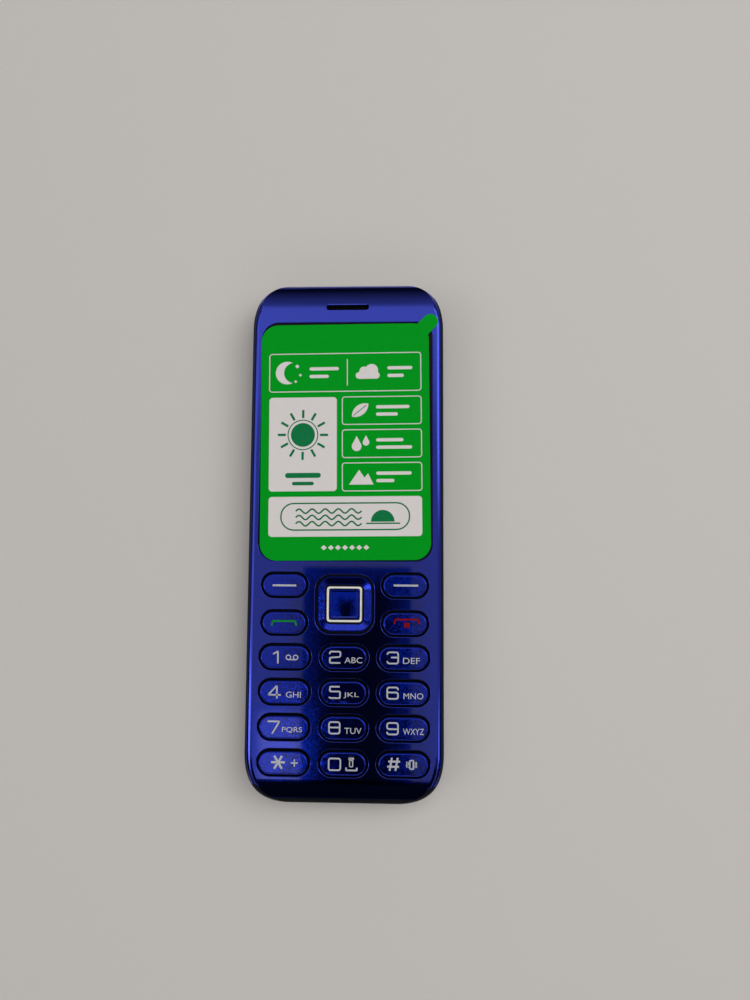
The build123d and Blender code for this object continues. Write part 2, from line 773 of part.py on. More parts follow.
# Rear chassis: the band round the body, its floor, the battery bay and every seat
wall_run = side_wall + 2 * overrun
bay_y = (bay_bottom_y + bay_top_y) / 2
bay_length = bay_top_y - bay_bottom_y
straight = half_length - corner_length
tab_x = inner_half_width - tab_edge - tab_wall / 2
tab_places = [(side * tab_x, share * tab_share * straight) for side in (-1, 1) for share in (-1, 0, 1)]
port_notches = [
    (jack_x, inner_half_length, jack_width),
    (torch_x, inner_half_length, 2 * (torch_radius + torch_flange)),
    (0, -inner_half_length, usb_width),
]
sim_places = [(-sim_column, sim_y), (sim_column, sim_y)]
grille_rows = [(index - (grille_slots - 1) / 2) * grille_pitch for index in range(grille_slots)]
grille_places = [(speaker_x, speaker_y + row) for row in grille_rows]
mic_y = antenna_end - half_length
mic_middle = board_bottom - mic_height / 2
with BuildPart() as rear_chassis:
    add(casing)
    split(bisect_by=Plane.XY.offset(band_top), keep=Keep.BOTTOM)
    split(bisect_by=Plane.XY.offset(band_bottom), keep=Keep.TOP)
    with BuildSketch(Plane.XY.offset(floor_top)):
        add(outline(side_wall))
    extrude(amount=band_top - floor_top, mode=Mode.SUBTRACT)
    with BuildSketch(Plane.XY.offset(band_top - lip_height)):
        add(outline(side_wall - lip_gap))
        add(outline(side_wall + lip_gap + lip_wall), mode=Mode.SUBTRACT)
    extrude(amount=lip_height)
    with BuildSketch(Plane.XY.offset(band_top)):
        add(outline(side_wall + lip_gap))
        add(outline(side_wall + lip_gap + lip_wall), mode=Mode.SUBTRACT)
    extrude(amount=lip_height)
    # Bay walls, then the bay itself and the windows in its floor
    with BuildSketch(Plane.XY.offset(band_bottom)):
        with Locations((0, bay_y)):
            Rectangle(2 * (bay_half_width + bay_wall), bay_length + 2 * bay_wall)
        with Locations(*boss_places):
            Circle(tower_radius)
    extrude(amount=board_bottom - band_bottom)
    with BuildSketch(Plane.XY.offset(bay_ceiling)):
        with Locations((0, bay_y)):
            Rectangle(2 * bay_half_width, bay_length)
    extrude(amount=band_bottom - bay_ceiling - overrun, mode=Mode.SUBTRACT)
    with BuildSketch(Plane.XY.offset(bay_ceiling)):
        with Locations(*sim_places):
            Rectangle(sim_socket_width + 2 * boss_gap, sim_socket_length + 2 * boss_gap)
        with Locations((0, connector_y)):
            Rectangle(connector_width + 2 * boss_gap, connector_depth + 2 * boss_gap)
    extrude(amount=bay_floor, mode=Mode.SUBTRACT)
    with BuildSketch(Plane.XZ.offset(-bay_top_y)):
        with Locations((card_socket_x, card_slot_middle)):
            Rectangle(card_slot_width, card_slot_height + boss_gap)
    extrude(amount=-bay_wall, mode=Mode.SUBTRACT)
    # Screw holes with their counterbores
    with BuildSketch(Plane.XY.offset(band_bottom)):
        with Locations(*boss_places):
            Circle(screw_radius + fine_gap)
    extrude(amount=board_bottom - band_bottom, mode=Mode.SUBTRACT)
    with BuildSketch(Plane.XY.offset(band_bottom)):
        with Locations(*boss_places):
            Circle(head_radius + fine_gap)
    extrude(amount=head_depth, mode=Mode.SUBTRACT)
    # Openings in the floor: camera, sound slots and slots for the cover's tabs
    with BuildSketch(Plane.XY.offset(band_bottom)):
        with Locations((0, camera_y)):
            Circle(barrel_radius + window_gap)
        with Locations(*grille_places):
            SlotOverall(grille_slot_length, grille_slot_width)
        with Locations(*tab_places):
            Rectangle(tab_wall + 2 * tab_gap, tab_length + 2 * tab_gap)
    extrude(amount=chassis_floor, mode=Mode.SUBTRACT)
    # Recess under the jack, notches in the lip and the mouths of the sockets
    with BuildSketch(Plane.XY.offset(floor_top)):
        with Locations((jack_x, jack_y)):
            Rectangle(jack_width + 2 * boss_gap, jack_length)
    extrude(amount=-jack_recess, mode=Mode.SUBTRACT)
    with BuildSketch(Plane.XY.offset(band_top - lip_height)):
        for x, y, width in port_notches:
            with Locations((x, y)):
                Rectangle(width + 2 * boss_gap, 2 * (lip_wall + lip_gap))
    extrude(amount=2 * lip_height, mode=Mode.SUBTRACT)
    with BuildSketch(Plane.XZ.offset(-inner_half_length + overrun)):
        with Locations((jack_x, jack_middle)):
            Circle(jack_radius + jack_mouth_gap)
        with Locations((torch_x, torch_middle)):
            Circle(torch_radius + torch_mouth_gap)
    extrude(amount=-wall_run, mode=Mode.SUBTRACT)
    with BuildSketch(Plane.XZ.offset(inner_half_length - overrun)):
        with Locations((0, usb_middle)):
            RectangleRounded(usb_width + 2 * usb_mouth_gap, usb_height + 2 * usb_mouth_gap, usb_corner)
        with Locations((mic_x, mic_middle)):
            Circle(mic_hole)
    extrude(amount=wall_run, mode=Mode.SUBTRACT)
    # Cradle of the vibration motor
    with BuildSketch(Plane.XY.offset(floor_top)):
        with Locations((channel_x, motor_y)):
            Rectangle(2 * (motor_radius + cradle_wall), motor_cradle)
    extrude(amount=motor_middle - floor_top)
    with BuildSketch(Plane.XZ.offset(-motor_y)):
        with Locations((channel_x, motor_middle)):
            Circle(motor_radius + fine_gap)
    extrude(amount=motor_cradle, both=True, mode=Mode.SUBTRACT)
save(rear_chassis.part, "rear_chassis")

# Battery cover: shallow shell with tabs, sound slots, a camera hole and a thumb notch
with BuildPart() as battery_cover:
    add(casing)
    add(casing_room, mode=Mode.SUBTRACT)
    split(bisect_by=Plane.XY.offset(cover_rim), keep=Keep.BOTTOM)
    with BuildSketch(Plane.XY.offset(cover_floor)):
        with Locations(*tab_places):
            Rectangle(tab_wall, tab_length)
    extrude(amount=floor_top + tab_height - cover_floor)
    with BuildSketch():
        with Locations((0, camera_y)):
            Circle(window_radius + window_gap + trim_wall + trim_gap)
        with Locations(*grille_places):
            SlotOverall(grille_slot_length, grille_slot_width)
    extrude(amount=cover_floor, mode=Mode.SUBTRACT)
    with BuildSketch(Plane.XY.offset(cover_rim)):
        with Locations((0, thumb_depth - thumb_radius - half_length)):
            Circle(thumb_radius)
    extrude(amount=-thumb_height, mode=Mode.SUBTRACT)
save(battery_cover.part, "battery_cover")

# Battery with three recessed terminals in its upper end
battery_y = (battery_low_y + battery_high_y) / 2
battery_middle = (battery_bottom + battery_top) / 2
battery_end = Plane.XZ.offset(-battery_high_y)
with BuildPart() as battery:
    with BuildSketch(Plane.XY.offset(battery_bottom)):
        with Locations((0, battery_y)):
            RectangleRounded(battery_width, battery_length, battery_corner)
    extrude(amount=battery_thickness)
    flat_faces = battery.faces().filter_by(Axis.Z)
    chamfer(flat_faces.edges(), length=battery_edge)
    with BuildSketch(battery_end):
        with Locations((0, battery_middle)):
            with GridLocations(terminal_pitch, 0, 3, 1):
                Rectangle(terminal_width, terminal_height)
    extrude(amount=terminal_depth, mode=Mode.SUBTRACT)
save(battery.part, "battery")

with BuildPart() as battery_terminals:
    with BuildSketch(battery_end.offset(terminal_depth / 2)):
        with Locations((0, battery_middle)):
            with GridLocations(terminal_pitch, 0, 3, 1):
                Rectangle(terminal_width, terminal_height)
    extrude(amount=terminal_depth / 2)
save(battery_terminals.part, "battery_terminals")

# Battery connector hanging from the board, with three spring fingers
connector_bottom = board_bottom - connector_height
finger_y = battery_high_y + connector_gap - finger_reach
finger_root = finger_reach + connector_depth / 2
with BuildPart() as battery_connector:
    with BuildSketch(Plane.XY.offset(connector_bottom)):
        with Locations((0, connector_y)):
            Rectangle(connector_width, connector_depth)
    extrude(amount=connector_height)
    with BuildSketch(Plane.XZ.offset(-finger_y)):
        with Locations((0, battery_middle)):
            with GridLocations(terminal_pitch, 0, 3, 1):
                Rectangle(finger_width, terminal_height)
    extrude(amount=-finger_root, mode=Mode.SUBTRACT)
save(battery_connector.part, "battery_connector")

with BuildPart() as battery_contacts:
    with BuildSketch(Plane.XZ.offset(-finger_y)):
        with Locations((0, battery_middle)):
            with GridLocations(terminal_pitch, 0, 3, 1):
                Rectangle(finger_width, terminal_height)
    extrude(amount=-finger_root)
save(battery_contacts.part, "battery_contacts")

# Two card sockets, open towards the back, with their contact pads
sim_bottom = board_bottom - sim_socket_height
pad_top = sim_bottom + sim_card_slot
for side, name in ((-1, "sim_socket_left"), (1, "sim_socket_right")):
    with BuildPart() as sim_socket:
        with BuildSketch(Plane.XY.offset(sim_bottom)):
            with Locations((side * sim_column, sim_y)):
                Rectangle(sim_socket_width, sim_socket_length)
        extrude(amount=sim_socket_height)
        with BuildSketch(Plane.XY.offset(sim_bottom)):
            with Locations((side * sim_column, sim_y)):
                Rectangle(sim_card_width, sim_card_length)
        extrude(amount=sim_card_slot, mode=Mode.SUBTRACT)
        uprights = sim_socket.edges().filter_by(Axis.Z)
        corners = uprights.filter_by(lambda edge: edge.length < sim_socket_height)
        chamfer(corners.sort_by(Axis.Y)[-2:].sort_by(Axis.X)[-1], length=sim_key)
    save(sim_socket.part, name)

with BuildPart() as sim_contacts:
    with BuildSketch(Plane.XY.offset(pad_top - pad_thickness)):
        with Locations(*sim_places):
            with GridLocations(pad_pitch_x, pad_pitch_y, 2, 3):
                Rectangle(pad_width, pad_length)
    extrude(amount=pad_thickness)
save(sim_contacts.part, "sim_contacts")

# Memory-card socket, its mouth opens into the bay through the head wall
card_socket_bottom = board_bottom - card_socket_height
card_socket_length = can_length + can_gap - boss_gap
card_socket_y = bay_top_y + bay_wall + boss_gap + card_socket_length / 2
with BuildPart() as memory_socket:
    with BuildSketch(Plane.XY.offset(card_socket_bottom)):
        with Locations((card_socket_x, card_socket_y)):
            Rectangle(card_socket_width, card_socket_length)
    extrude(amount=card_socket_height)
    with BuildSketch(Plane.XZ.offset(card_socket_length / 2 - card_socket_y)):
        with Locations((card_socket_x, card_slot_middle)):
            Rectangle(card_slot_width, card_slot_height)
    extrude(amount=card_socket_back - card_socket_length, mode=Mode.SUBTRACT)
save(memory_socket.part, "memory_socket")

# Shield cans on the underside of the board, and the processor inside one
cans = [
    ("shield_can_radio", radio_can_x, radio_can_width),
    ("shield_can_logic", logic_can_x, logic_can_width),
]
for name, x, width in cans:
    with BuildPart() as can:
        with BuildSketch(Plane.XY.offset(board_bottom - can_height)):
            with Locations((x, upper_row_y)):
                Rectangle(width, can_length)
        extrude(amount=can_height)
        with BuildSketch(Plane.XY.offset(board_bottom - can_height + can_wall)):
            with Locations((x, upper_row_y)):
                Rectangle(width - 2 * can_wall, can_length - 2 * can_wall)
        extrude(amount=can_height - can_wall, mode=Mode.SUBTRACT)
    save(can.part, name)

with BuildPart() as processor:
    with BuildSketch(Plane.XY.offset(board_bottom - chip_height)):
        with Locations((logic_can_x, upper_row_y)):
            Rectangle(chip_size, chip_size)
    extrude(amount=chip_height)
save(processor.part, "processor")

# Camera: module on the board, window and trim outside the chassis
barrel_top = board_bottom - camera_base_height
window_bottom = trim_recess + trim_step
trim_inner = window_radius + window_gap
with BuildPart() as camera_module:
    with BuildSketch(Plane.XY.offset(barrel_top)):
        with Locations((0, camera_y)):
            Rectangle(camera_base, camera_base)
    extrude(amount=camera_base_height)
    with BuildSketch(Plane.XY.offset(band_bottom + barrel_gap)):
        with Locations((0, camera_y)):
            Circle(barrel_radius)
    extrude(amount=barrel_top - band_bottom - barrel_gap)
save(camera_module.part, "camera_module")

with BuildPart() as camera_window:
    with BuildSketch(Plane.XY.offset(window_bottom)):
        with Locations((0, camera_y)):
            Circle(window_radius)
    extrude(amount=window_thickness)
save(camera_window.part, "camera_window")

with BuildPart() as camera_trim:
    with BuildSketch(Plane.XY.offset(trim_recess)):
        with Locations((0, camera_y)):
            Circle(trim_inner + trim_wall)
            Circle(trim_inner - trim_ledge, mode=Mode.SUBTRACT)
    extrude(amount=band_bottom - trim_recess)
    with BuildSketch(Plane.XY.offset(trim_recess)):
        with Locations((0, camera_y)):
            Circle(trim_inner)
    extrude(amount=trim_step + window_thickness, mode=Mode.SUBTRACT)
    outer = camera_trim.edges().group_by(Axis.Z)[0].sort_by(SortBy.RADIUS)[-1]
    fillet(outer, radius=trim_edge)
save(camera_trim.part, "camera_trim")

# Loudspeaker on the chassis floor, and the cloth over its slots
with BuildPart() as loudspeaker:
    with BuildSketch(Plane.XY.offset(floor_top)):
        with Locations((speaker_x, speaker_y)):
            RectangleRounded(speaker_width, speaker_length, speaker_corner)
    extrude(amount=speaker_height)
save(loudspeaker.part, "loudspeaker")

cloth_width = speaker_width - speaker_corner
cloth_length = speaker_length - speaker_corner
with BuildPart() as speaker_mesh:
    with BuildSketch(Plane.XY.offset(band_bottom)):
        with Locations((speaker_x, speaker_y)):
            RectangleRounded(cloth_width, cloth_length, speaker_corner)
    extrude(amount=-grille_mesh)
save(speaker_mesh.part, "speaker_mesh")

# Headphone jack in the top end
with BuildPart() as headphone_jack:
    with BuildSketch(Plane.XZ.offset(-inner_half_length)):
        with Locations((jack_x, jack_middle)):
            Rectangle(jack_width, jack_height)
    extrude(amount=jack_length)
    with BuildSketch(Plane.XZ.offset(-inner_half_length)):
        with Locations((jack_x, jack_middle)):
            Circle(jack_radius)
    extrude(amount=jack_depth, mode=Mode.SUBTRACT)
save(headphone_jack.part, "headphone_jack")

# Charging socket in the bottom end: shell, back wall and tongue
with BuildPart() as usb_socket:
    with BuildSketch(Plane.XZ.offset(inner_half_length)):
        with Locations((0, usb_middle)):
            RectangleRounded(usb_width, usb_height, usb_corner)
    extrude(amount=-usb_length)
    with BuildSketch(Plane.XZ.offset(inner_half_length)):
        with Locations((0, usb_middle)):
            RectangleRounded(usb_width - 2 * usb_shell, usb_height - 2 * usb_shell, usb_inner_corner)
            Rectangle(usb_tongue_width, usb_tongue_height, mode=Mode.SUBTRACT)
    extrude(amount=usb_back_wall - usb_length, mode=Mode.SUBTRACT)
save(usb_socket.part, "usb_socket")

# Torch in the top end: a light-emitting diode behind a stepped lens
with BuildPart() as torch_lens:
    with BuildSketch(Plane.XZ.offset(-inner_half_length)):
        with Locations((torch_x, torch_middle)):
            Circle(torch_radius)
    extrude(amount=-side_wall + fine_gap)
    with BuildSketch(Plane.XZ.offset(-inner_half_length)):
        with Locations((torch_x, torch_middle)):
            Circle(torch_radius + torch_flange)
    extrude(amount=torch_flange_depth)
save(torch_lens.part, "torch_lens")

led_front = inner_half_length - torch_flange_depth - led_gap
with BuildPart() as torch_led:
    with BuildSketch(Plane.XY.offset(board_bottom)):
        with Locations((torch_x, led_front - led_depth / 2)):
            Rectangle(led_width, led_depth)
    extrude(amount=-led_height)
save(torch_led.part, "torch_led")

# Vibration motor along the right-hand side, with its half-round weight on the shaft
motor_front = motor_y + motor_length / 2
with BuildPart() as vibration_motor:
    with BuildSketch(Plane.XZ.offset(-motor_front)):
        with Locations((channel_x, motor_middle)):
            Circle(motor_radius)
    extrude(amount=motor_length)
    with BuildSketch(Plane.XZ.offset(-motor_front)):
        with Locations((channel_x, motor_middle)):
            Circle(shaft_radius + shaft_gap)
    extrude(amount=shaft_depth, mode=Mode.SUBTRACT)
save(vibration_motor.part, "vibration_motor")

with BuildPart() as vibration_weight:
    with BuildSketch(Plane.XZ.offset(-motor_front - shaft_reach)):
        with Locations((channel_x, motor_middle)):
            Circle(weight_radius)
            with Locations((0, weight_radius * (1 + weight_cut_share))):
                Rectangle(2 * weight_radius, 2 * weight_radius, mode=Mode.SUBTRACT)
            Circle(shaft_radius + shaft_collar)
    extrude(amount=-weight_length)
    with BuildSketch(Plane.XZ.offset(-motor_front + shaft_depth - shaft_gap)):
        with Locations((channel_x, motor_middle)):
            Circle(shaft_radius)
    extrude(amount=shaft_gap - shaft_depth - shaft_reach)
save(vibration_weight.part, "vibration_weight")

# Microphone, and the antenna strip with its two spring posts
with BuildPart() as microphone:
    with BuildSketch(Plane.XY.offset(board_bottom)):
        with Locations((mic_x, mic_y)):
            Circle(mic_radius)
    extrude(amount=-mic_height)
save(microphone.part, "microphone")

with BuildPart() as antenna:
    with BuildSketch(Plane.XY.offset(floor_top)):
        with Locations((0, mic_y)):
            Rectangle(antenna_width, antenna_length)
    extrude(amount=antenna_thickness)
    with BuildSketch(Plane.XY.offset(floor_top)):
        for share in post_places_share:
            with Locations((share * antenna_width, mic_y)):
                Rectangle(post_width, post_length)
    extrude(amount=board_bottom - floor_top)
save(antenna.part, "antenna")

# Six screws that hold the chassis to the front housing
with BuildPart() as housing_screws:
    with BuildSketch(Plane.XY.offset(head_seat - head_height)):
        with Locations(*boss_places):
            Circle(head_radius)
    extrude(amount=head_height)
    with BuildSketch(Plane.XY.offset(head_seat)):
        with Locations(*boss_places):
            Circle(screw_radius)
    extrude(amount=screw_length)
    with BuildSketch(Plane.XY.offset(head_seat - head_height)):
        with Locations(*boss_places):
            Rectangle(head_radius, slot_cut)
            Rectangle(slot_cut, head_radius)
    extrude(amount=head_height / 2, mode=Mode.SUBTRACT)
save(housing_screws.part, "housing_screws")
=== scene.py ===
# %% [markdown]
# # A keypad phone, from bare solids to a finished picture
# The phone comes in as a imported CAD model: sixty solids at their real size, lying on their back with the
# keys up. It could be modelled again from nothing, but then the looks and the moving parts would drift
# apart. So each solid whose shape is right stays, and gets a finish, and only what a solid can't say is
# modelled here: printed signs, the picture on the screen film and two fine meshes.

import json
import math

import bmesh
import bpy
from mathutils import Euler, Matrix, Vector

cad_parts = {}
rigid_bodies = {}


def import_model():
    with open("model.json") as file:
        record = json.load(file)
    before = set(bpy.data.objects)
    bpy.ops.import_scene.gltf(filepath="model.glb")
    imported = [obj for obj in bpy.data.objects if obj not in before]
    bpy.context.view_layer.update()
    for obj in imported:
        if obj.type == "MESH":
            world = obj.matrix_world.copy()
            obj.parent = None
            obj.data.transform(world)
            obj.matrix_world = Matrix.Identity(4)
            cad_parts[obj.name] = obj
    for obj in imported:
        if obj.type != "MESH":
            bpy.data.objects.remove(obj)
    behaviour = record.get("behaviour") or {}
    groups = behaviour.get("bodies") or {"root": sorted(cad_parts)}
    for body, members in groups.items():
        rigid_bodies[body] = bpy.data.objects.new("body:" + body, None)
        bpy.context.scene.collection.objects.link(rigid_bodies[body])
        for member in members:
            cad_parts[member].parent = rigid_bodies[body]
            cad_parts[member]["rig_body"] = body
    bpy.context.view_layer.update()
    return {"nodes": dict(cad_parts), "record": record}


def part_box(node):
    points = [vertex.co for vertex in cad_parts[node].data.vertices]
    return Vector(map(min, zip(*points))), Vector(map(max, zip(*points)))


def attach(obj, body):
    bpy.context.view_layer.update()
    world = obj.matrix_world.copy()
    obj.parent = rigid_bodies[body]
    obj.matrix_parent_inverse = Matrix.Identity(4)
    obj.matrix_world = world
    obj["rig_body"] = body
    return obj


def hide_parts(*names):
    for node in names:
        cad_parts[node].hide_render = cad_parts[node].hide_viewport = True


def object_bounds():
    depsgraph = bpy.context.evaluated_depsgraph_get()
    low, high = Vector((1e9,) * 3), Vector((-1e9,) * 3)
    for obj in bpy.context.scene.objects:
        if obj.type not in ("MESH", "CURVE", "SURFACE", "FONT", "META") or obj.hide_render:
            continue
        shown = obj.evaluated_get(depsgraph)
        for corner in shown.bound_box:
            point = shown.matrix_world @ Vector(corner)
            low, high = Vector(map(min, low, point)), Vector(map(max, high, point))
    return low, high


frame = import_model()
nodes = frame["nodes"]
mm = 0.001


# %% [markdown]
# ## Reading places from the frame
# A sign sits on its key, and a mesh lies behind its slot. Typing their places would work until the CAD
# changes. Here every place is measured on the solid that carries the new piece.

# %% Measure a node
def middle(node):
    """Centre of a node's box."""
    low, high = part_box(node)
    return (low + high) / 2


def top_of(node):
    """Height of a node's highest point."""
    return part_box(node)[1].z


phone_low, phone_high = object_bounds()
face = top_of("screen_lens")
print("phone", [round(v / mm, 2) for v in phone_high - phone_low], "mm, face at", round(face / mm, 2))


# %% [markdown]
# ## Shader sums that read like sums
# A finish is a graph of nodes, and adding each Math node by hand takes four lines. A small class that wraps
# an output and answers to plus, minus and times lets a mask be written as 1 - mask, and the nodes follow.

# %% A signal and the graph it lives in
def deeper(colour, share):
    """A colour with each part brought down to a share of itself."""
    return tuple(value * share for value in colour)


class Signal:
    """One output of a shader node, used in sums as if it were a number."""

    def __init__(self, graph, socket):
        self.graph = graph
        self.socket = socket

    def math(self, operation, *others):
        """Any operation of the Math node, on this signal first."""
        return self.graph.add("Math", {"operation": operation}, dict(enumerate((self, *others))))

    def __add__(self, other):
        return self.math("ADD", other)

    def __sub__(self, other):
        return self.math("SUBTRACT", other)

    def __rsub__(self, other):
        return self * -1.0 + other

    def __mul__(self, other):
        return self.math("MULTIPLY", other)

    def __truediv__(self, other):
        return self.math("DIVIDE", other)

    __radd__ = __add__
    __rmul__ = __mul__

    def size(self):
        return self.math("ABSOLUTE")

    def larger(self, other):
        return self.math("MAXIMUM", other)

    def rise(self, start, end):
        """0 below start, 1 above end and smooth between them. With end below start it falls."""
        limits = {"From Min": start, "From Max": end, "Value": self}
        return self.graph.add("MapRange", {"interpolation_type": "SMOOTHSTEP"}, limits)


class Graph:
    """A node tree that grows one call at a time."""

    def __init__(self, tree):
        self.tree = tree

    def feed(self, socket, value):
        if isinstance(value, Signal):
            self.tree.links.new(value.socket, socket)
        elif socket.type == "RGBA":
            socket.default_value = (*value[:3], 1)
        else:
            socket.default_value = value

    def add(self, kind, settings=None, sockets=None, out=0):
        """A new node: its type, its settings, then the values or links of its sockets."""
        node = self.tree.nodes.new(kind if "Node" in kind else "ShaderNode" + kind)
        for name, value in (settings or {}).items():
            setattr(node, name, value)
        for name, value in (sockets or {}).items():
            self.feed(node.inputs[name], value)
        return Signal(self, node.outputs[out])

    def mix(self, first, second, share):
        """A colour between two others."""
        return self.add("Mix", {"data_type": "RGBA"}, {0: share, 6: first, 7: second}, out=2)


class Finish(Graph):
    """A material. What is the same all over sits on the shader's own socket."""

    def __init__(self, name):
        self.material = bpy.data.materials.new(name)
        self.material.use_nodes = True
        super().__init__(self.material.node_tree)
        self.shader = self.tree.nodes["Principled BSDF"]
        self.place = self.add("TexCoord", out="Object")

    def look(self, sockets):
        for name, value in sockets.items():
            self.feed(self.shader.inputs[name], value)

    def noise(self, grain, detail=2.0, stretch=(1, 1, 1)):
        """Cloudy noise with features about grain wide, drawn out along the axes by stretch."""
        scale = tuple(1 / value for value in stretch)
        spread = self.add("Mapping", {}, {"Vector": self.place, "Scale": scale})
        return self.add("TexNoise", {}, {"Vector": spread, "Scale": 1 / grain, "Detail": detail})

    def axes(self, vector=None):
        """X, Y and Z of the shaded point, or of another vector, as three signals."""
        split = self.add("SeparateXYZ", {}, {0: vector or self.place}).socket.node
        return [Signal(self, output) for output in split.outputs]

    def bump(self, height, depth):
        """A bent normal from a height of 0 to 1 and the depth that it stands for."""
        return self.add("Bump", {}, {"Height": height, "Distance": depth, "Strength": 1.0})


print("shader helpers ready, white at half strength is", deeper((1, 1, 1), 0.5))


# %% [markdown]
# ## The view from above
# The picture is taken from straight above, by hand, close to the phone. The focal length and the place of
# the lens were worked out from the outline and from the key rows, so the perspective is the real one: the
# far edges lean in by a pixel or two, and the camera hangs over the right half of the body.

# %% Camera
focal_pixels = 751
picture_height = 1000
sensor = 36
camera_place = Vector((15.03, -8.44, 201.2)) * mm
camera_turn = [math.radians(angle) for angle in (-5.279, -2.257, -0.158)]

camera_data = bpy.data.cameras.new("camera")
camera_data.sensor_width = sensor
camera_data.lens = focal_pixels / picture_height * sensor
camera_data.clip_start = 1 * mm
camera = bpy.data.objects.new("camera", camera_data)
camera.matrix_world = Matrix.Translation(camera_place) @ Euler(camera_turn).to_matrix().transposed().to_4x4()
bpy.context.scene.collection.objects.link(camera)
bpy.context.scene.camera = camera
bpy.context.scene.view_settings.view_transform = "Standard"
print("lens", round(camera_data.lens, 2), "mm at", [round(v / mm, 1) for v in camera_place])


# %% [markdown]
# ## Light and floor
# Blue metal paint has no colour of its own to speak of: it shows the room. Over the phone hangs a pale
# ceiling, brighter beyond the top end. A dark patch with clear edges lies over the keypad, the room below
# the keypad is dark, and bright windows stand low at both sides. A picture of a room would be a file to
# carry along, so each of these is a rectangle of directions in the world, with an edge of its own. One
# large lamp at the upper right gives the floor its soft shadow, and the floor carries the pale warm grey.

# %% The room above the phone
background = (0.50, 0.48, 0.46)

world = bpy.data.worlds.new("room")
world.use_nodes = True
bpy.context.scene.world = world
room = Graph(world.node_tree)
direction = room.add("TexCoord", out="Generated")
along = [Signal(room, output) for output in room.add("SeparateXYZ", {}, {0: direction}).socket.node.outputs]
lowest = 0.05
height = along[2].larger(lowest)
side = along[0] / height
ahead = along[1] / height


def patch(side_range, ahead_range, edge):
    """1 inside a soft-edged rectangle of the room, given as slopes from straight up."""
    shape = 1.0
    for slope, (low, high) in ((side, side_range), (ahead, ahead_range)):
        shape = shape * slope.rise(low - edge, low + edge) * slope.rise(high + edge, high - edge)
    return shape


room_light = 0.34
patches = [
    # where the light is, its soft edge and how much it adds
    ((-0.70, 0.70), (-0.60, 0.80), 0.25, 0.14),
    ((-0.90, 0.80), (0.24, 0.62), 0.08, 0.46),
    ((-0.19, -0.133), (-0.30, -0.189), 0.008, 1.00),
    ((-1.90, -0.75), (-0.40, 0.60), 0.15, 0.75),
    ((0.70, 2.00), (0.16, 0.90), 0.12, 1.90),
    ((-1.50, -0.85), (-0.52, -0.22), 0.05, 2.40),
    ((0.95, 1.60), (-0.52, -0.28), 0.05, 1.60),
    ((-1.50, 1.30), (-2.60, -1.25), 0.15, 0.75),
    ((-2.80, -1.55), (-1.20, -0.25), 0.15, 3.00),
]
shades = [
    # where the dark is, its soft edge and how much it takes
    ((-0.134, 0.009), (-0.36, 0.003), 0.004, 0.97),
    ((-0.80, 0.70), (-1.05, -0.29), 0.03, 0.97),
    ((-99.0, -1.60), (-9.00, -0.50), 0.05, 0.95),
    ((1.50, 99.0), (-9.00, -0.50), 0.05, 0.95),
    ((-1.60, 1.60), (1.00, 3.20), 0.50, 0.95),
    ((-99.0, -2.20), (-9.00, 9.00), 0.30, 0.70),
    ((2.30, 3.20), (-9.00, 9.00), 0.30, 0.70),
]
light = room_light
for across, deep, edge, amount in patches:
    light = light + amount * patch(across, deep, edge)
for across, deep, edge, amount in shades:
    light = light * (1 - amount * patch(across, deep, edge))
tone = room.add("CombineColor", {}, {0: light, 1: light * 0.985, 2: light * 0.97})
seen = room.add("LightPath", out="Is Camera Ray")
shown = room.mix(tone, background, seen)
output = next(node for node in world.node_tree.nodes if node.type == "BACKGROUND")
room.feed(output.inputs["Color"], shown)
print("world built from", len(patches), "bright and", len(shades), "dark patches")

# %% Lamp and floor
lamp_data = bpy.data.lights.new("window", "AREA")
lamp_data.shape = "RECTANGLE"
lamp_data.size = 1.30
lamp_data.size_y = 1.10
lamp_data.energy = 8.6
lamp_data.color = (1.0, 0.985, 0.96)
lamp = bpy.data.objects.new("window", lamp_data)
lamp.visible_glossy = False
lamp_place = Vector((0.42, 0.28, 1.05))
lamp.matrix_world = Matrix.Translation(lamp_place) @ lamp_place.to_track_quat("Z", "Y").to_matrix().to_4x4()
bpy.context.scene.collection.objects.link(lamp)

floor_half = 1.5
floor_mesh = bpy.data.meshes.new("floor")
corners = [(x * floor_half, y * floor_half, 0) for x, y in ((-1, -1), (1, -1), (1, 1), (-1, 1))]
floor_mesh.from_pydata(corners, [], [(0, 1, 2, 3)])
floor = bpy.data.objects.new("floor", floor_mesh)
bpy.context.scene.collection.objects.link(floor)
paper = Finish("paper")
fleck = paper.noise(0.6 * mm, detail=4)
greys = (0.516, 0.500, 0.484), (0.530, 0.514, 0.498)
paper.look({"Base Color": paper.mix(*greys, fleck), "Roughness": 0.8})
paper.look({"Normal": paper.bump(fleck, 0.02 * mm)})
floor.data.materials.append(paper.material)
print("floor and lamp ready")


# %% [markdown]
# ## Blue paint
# The housing, the keys and the rocker are sprayed with aluminium flakes in a blue tint under clear lacquer.
# A plain blue plastic would stay blue everywhere; this one goes from pale to nearly black with the room.
# So the base is a metal of a deep blue, the lacquer is the shader's coat, and each flake is a Voronoi cell
# that leans the normal a little its own way. The coat keeps its own smooth normal, as real lacquer does.
# Where the room and the deep gaps leave the rims, the key sides and the groove round the rocker dark, a mask
# of normal, place and height swaps the paint for dark, rough plastic without coat: a painted shade. The
# middle key is a shallow dome in the real phone and flat in the CAD: its normal leans too.

# %% Metallic paint
# Dark, rough plastic without coat: a painted shade for rims, key sides and the groove round the rocker
painted_shade_colour = (0.002, 0.003, 0.005)
painted_shade_roughness = 0.45
lacquer = {"Metallic": 1.0, "Specular IOR Level": 0.07, "Coat Roughness": 0.02, "Coat IOR": 1.48}


def cushion(finish, node, radius):
    """How far a normal leans outwards on a key whose top is part of a large ball, not flat."""
    aside = finish.add("VectorMath", {"operation": "SUBTRACT"}, {0: finish.place, 1: middle(node)})
    share = (1 / radius, 1 / radius, 0)
    return finish.add("VectorMath", {"operation": "MULTIPLY"}, {0: aside, 1: share})


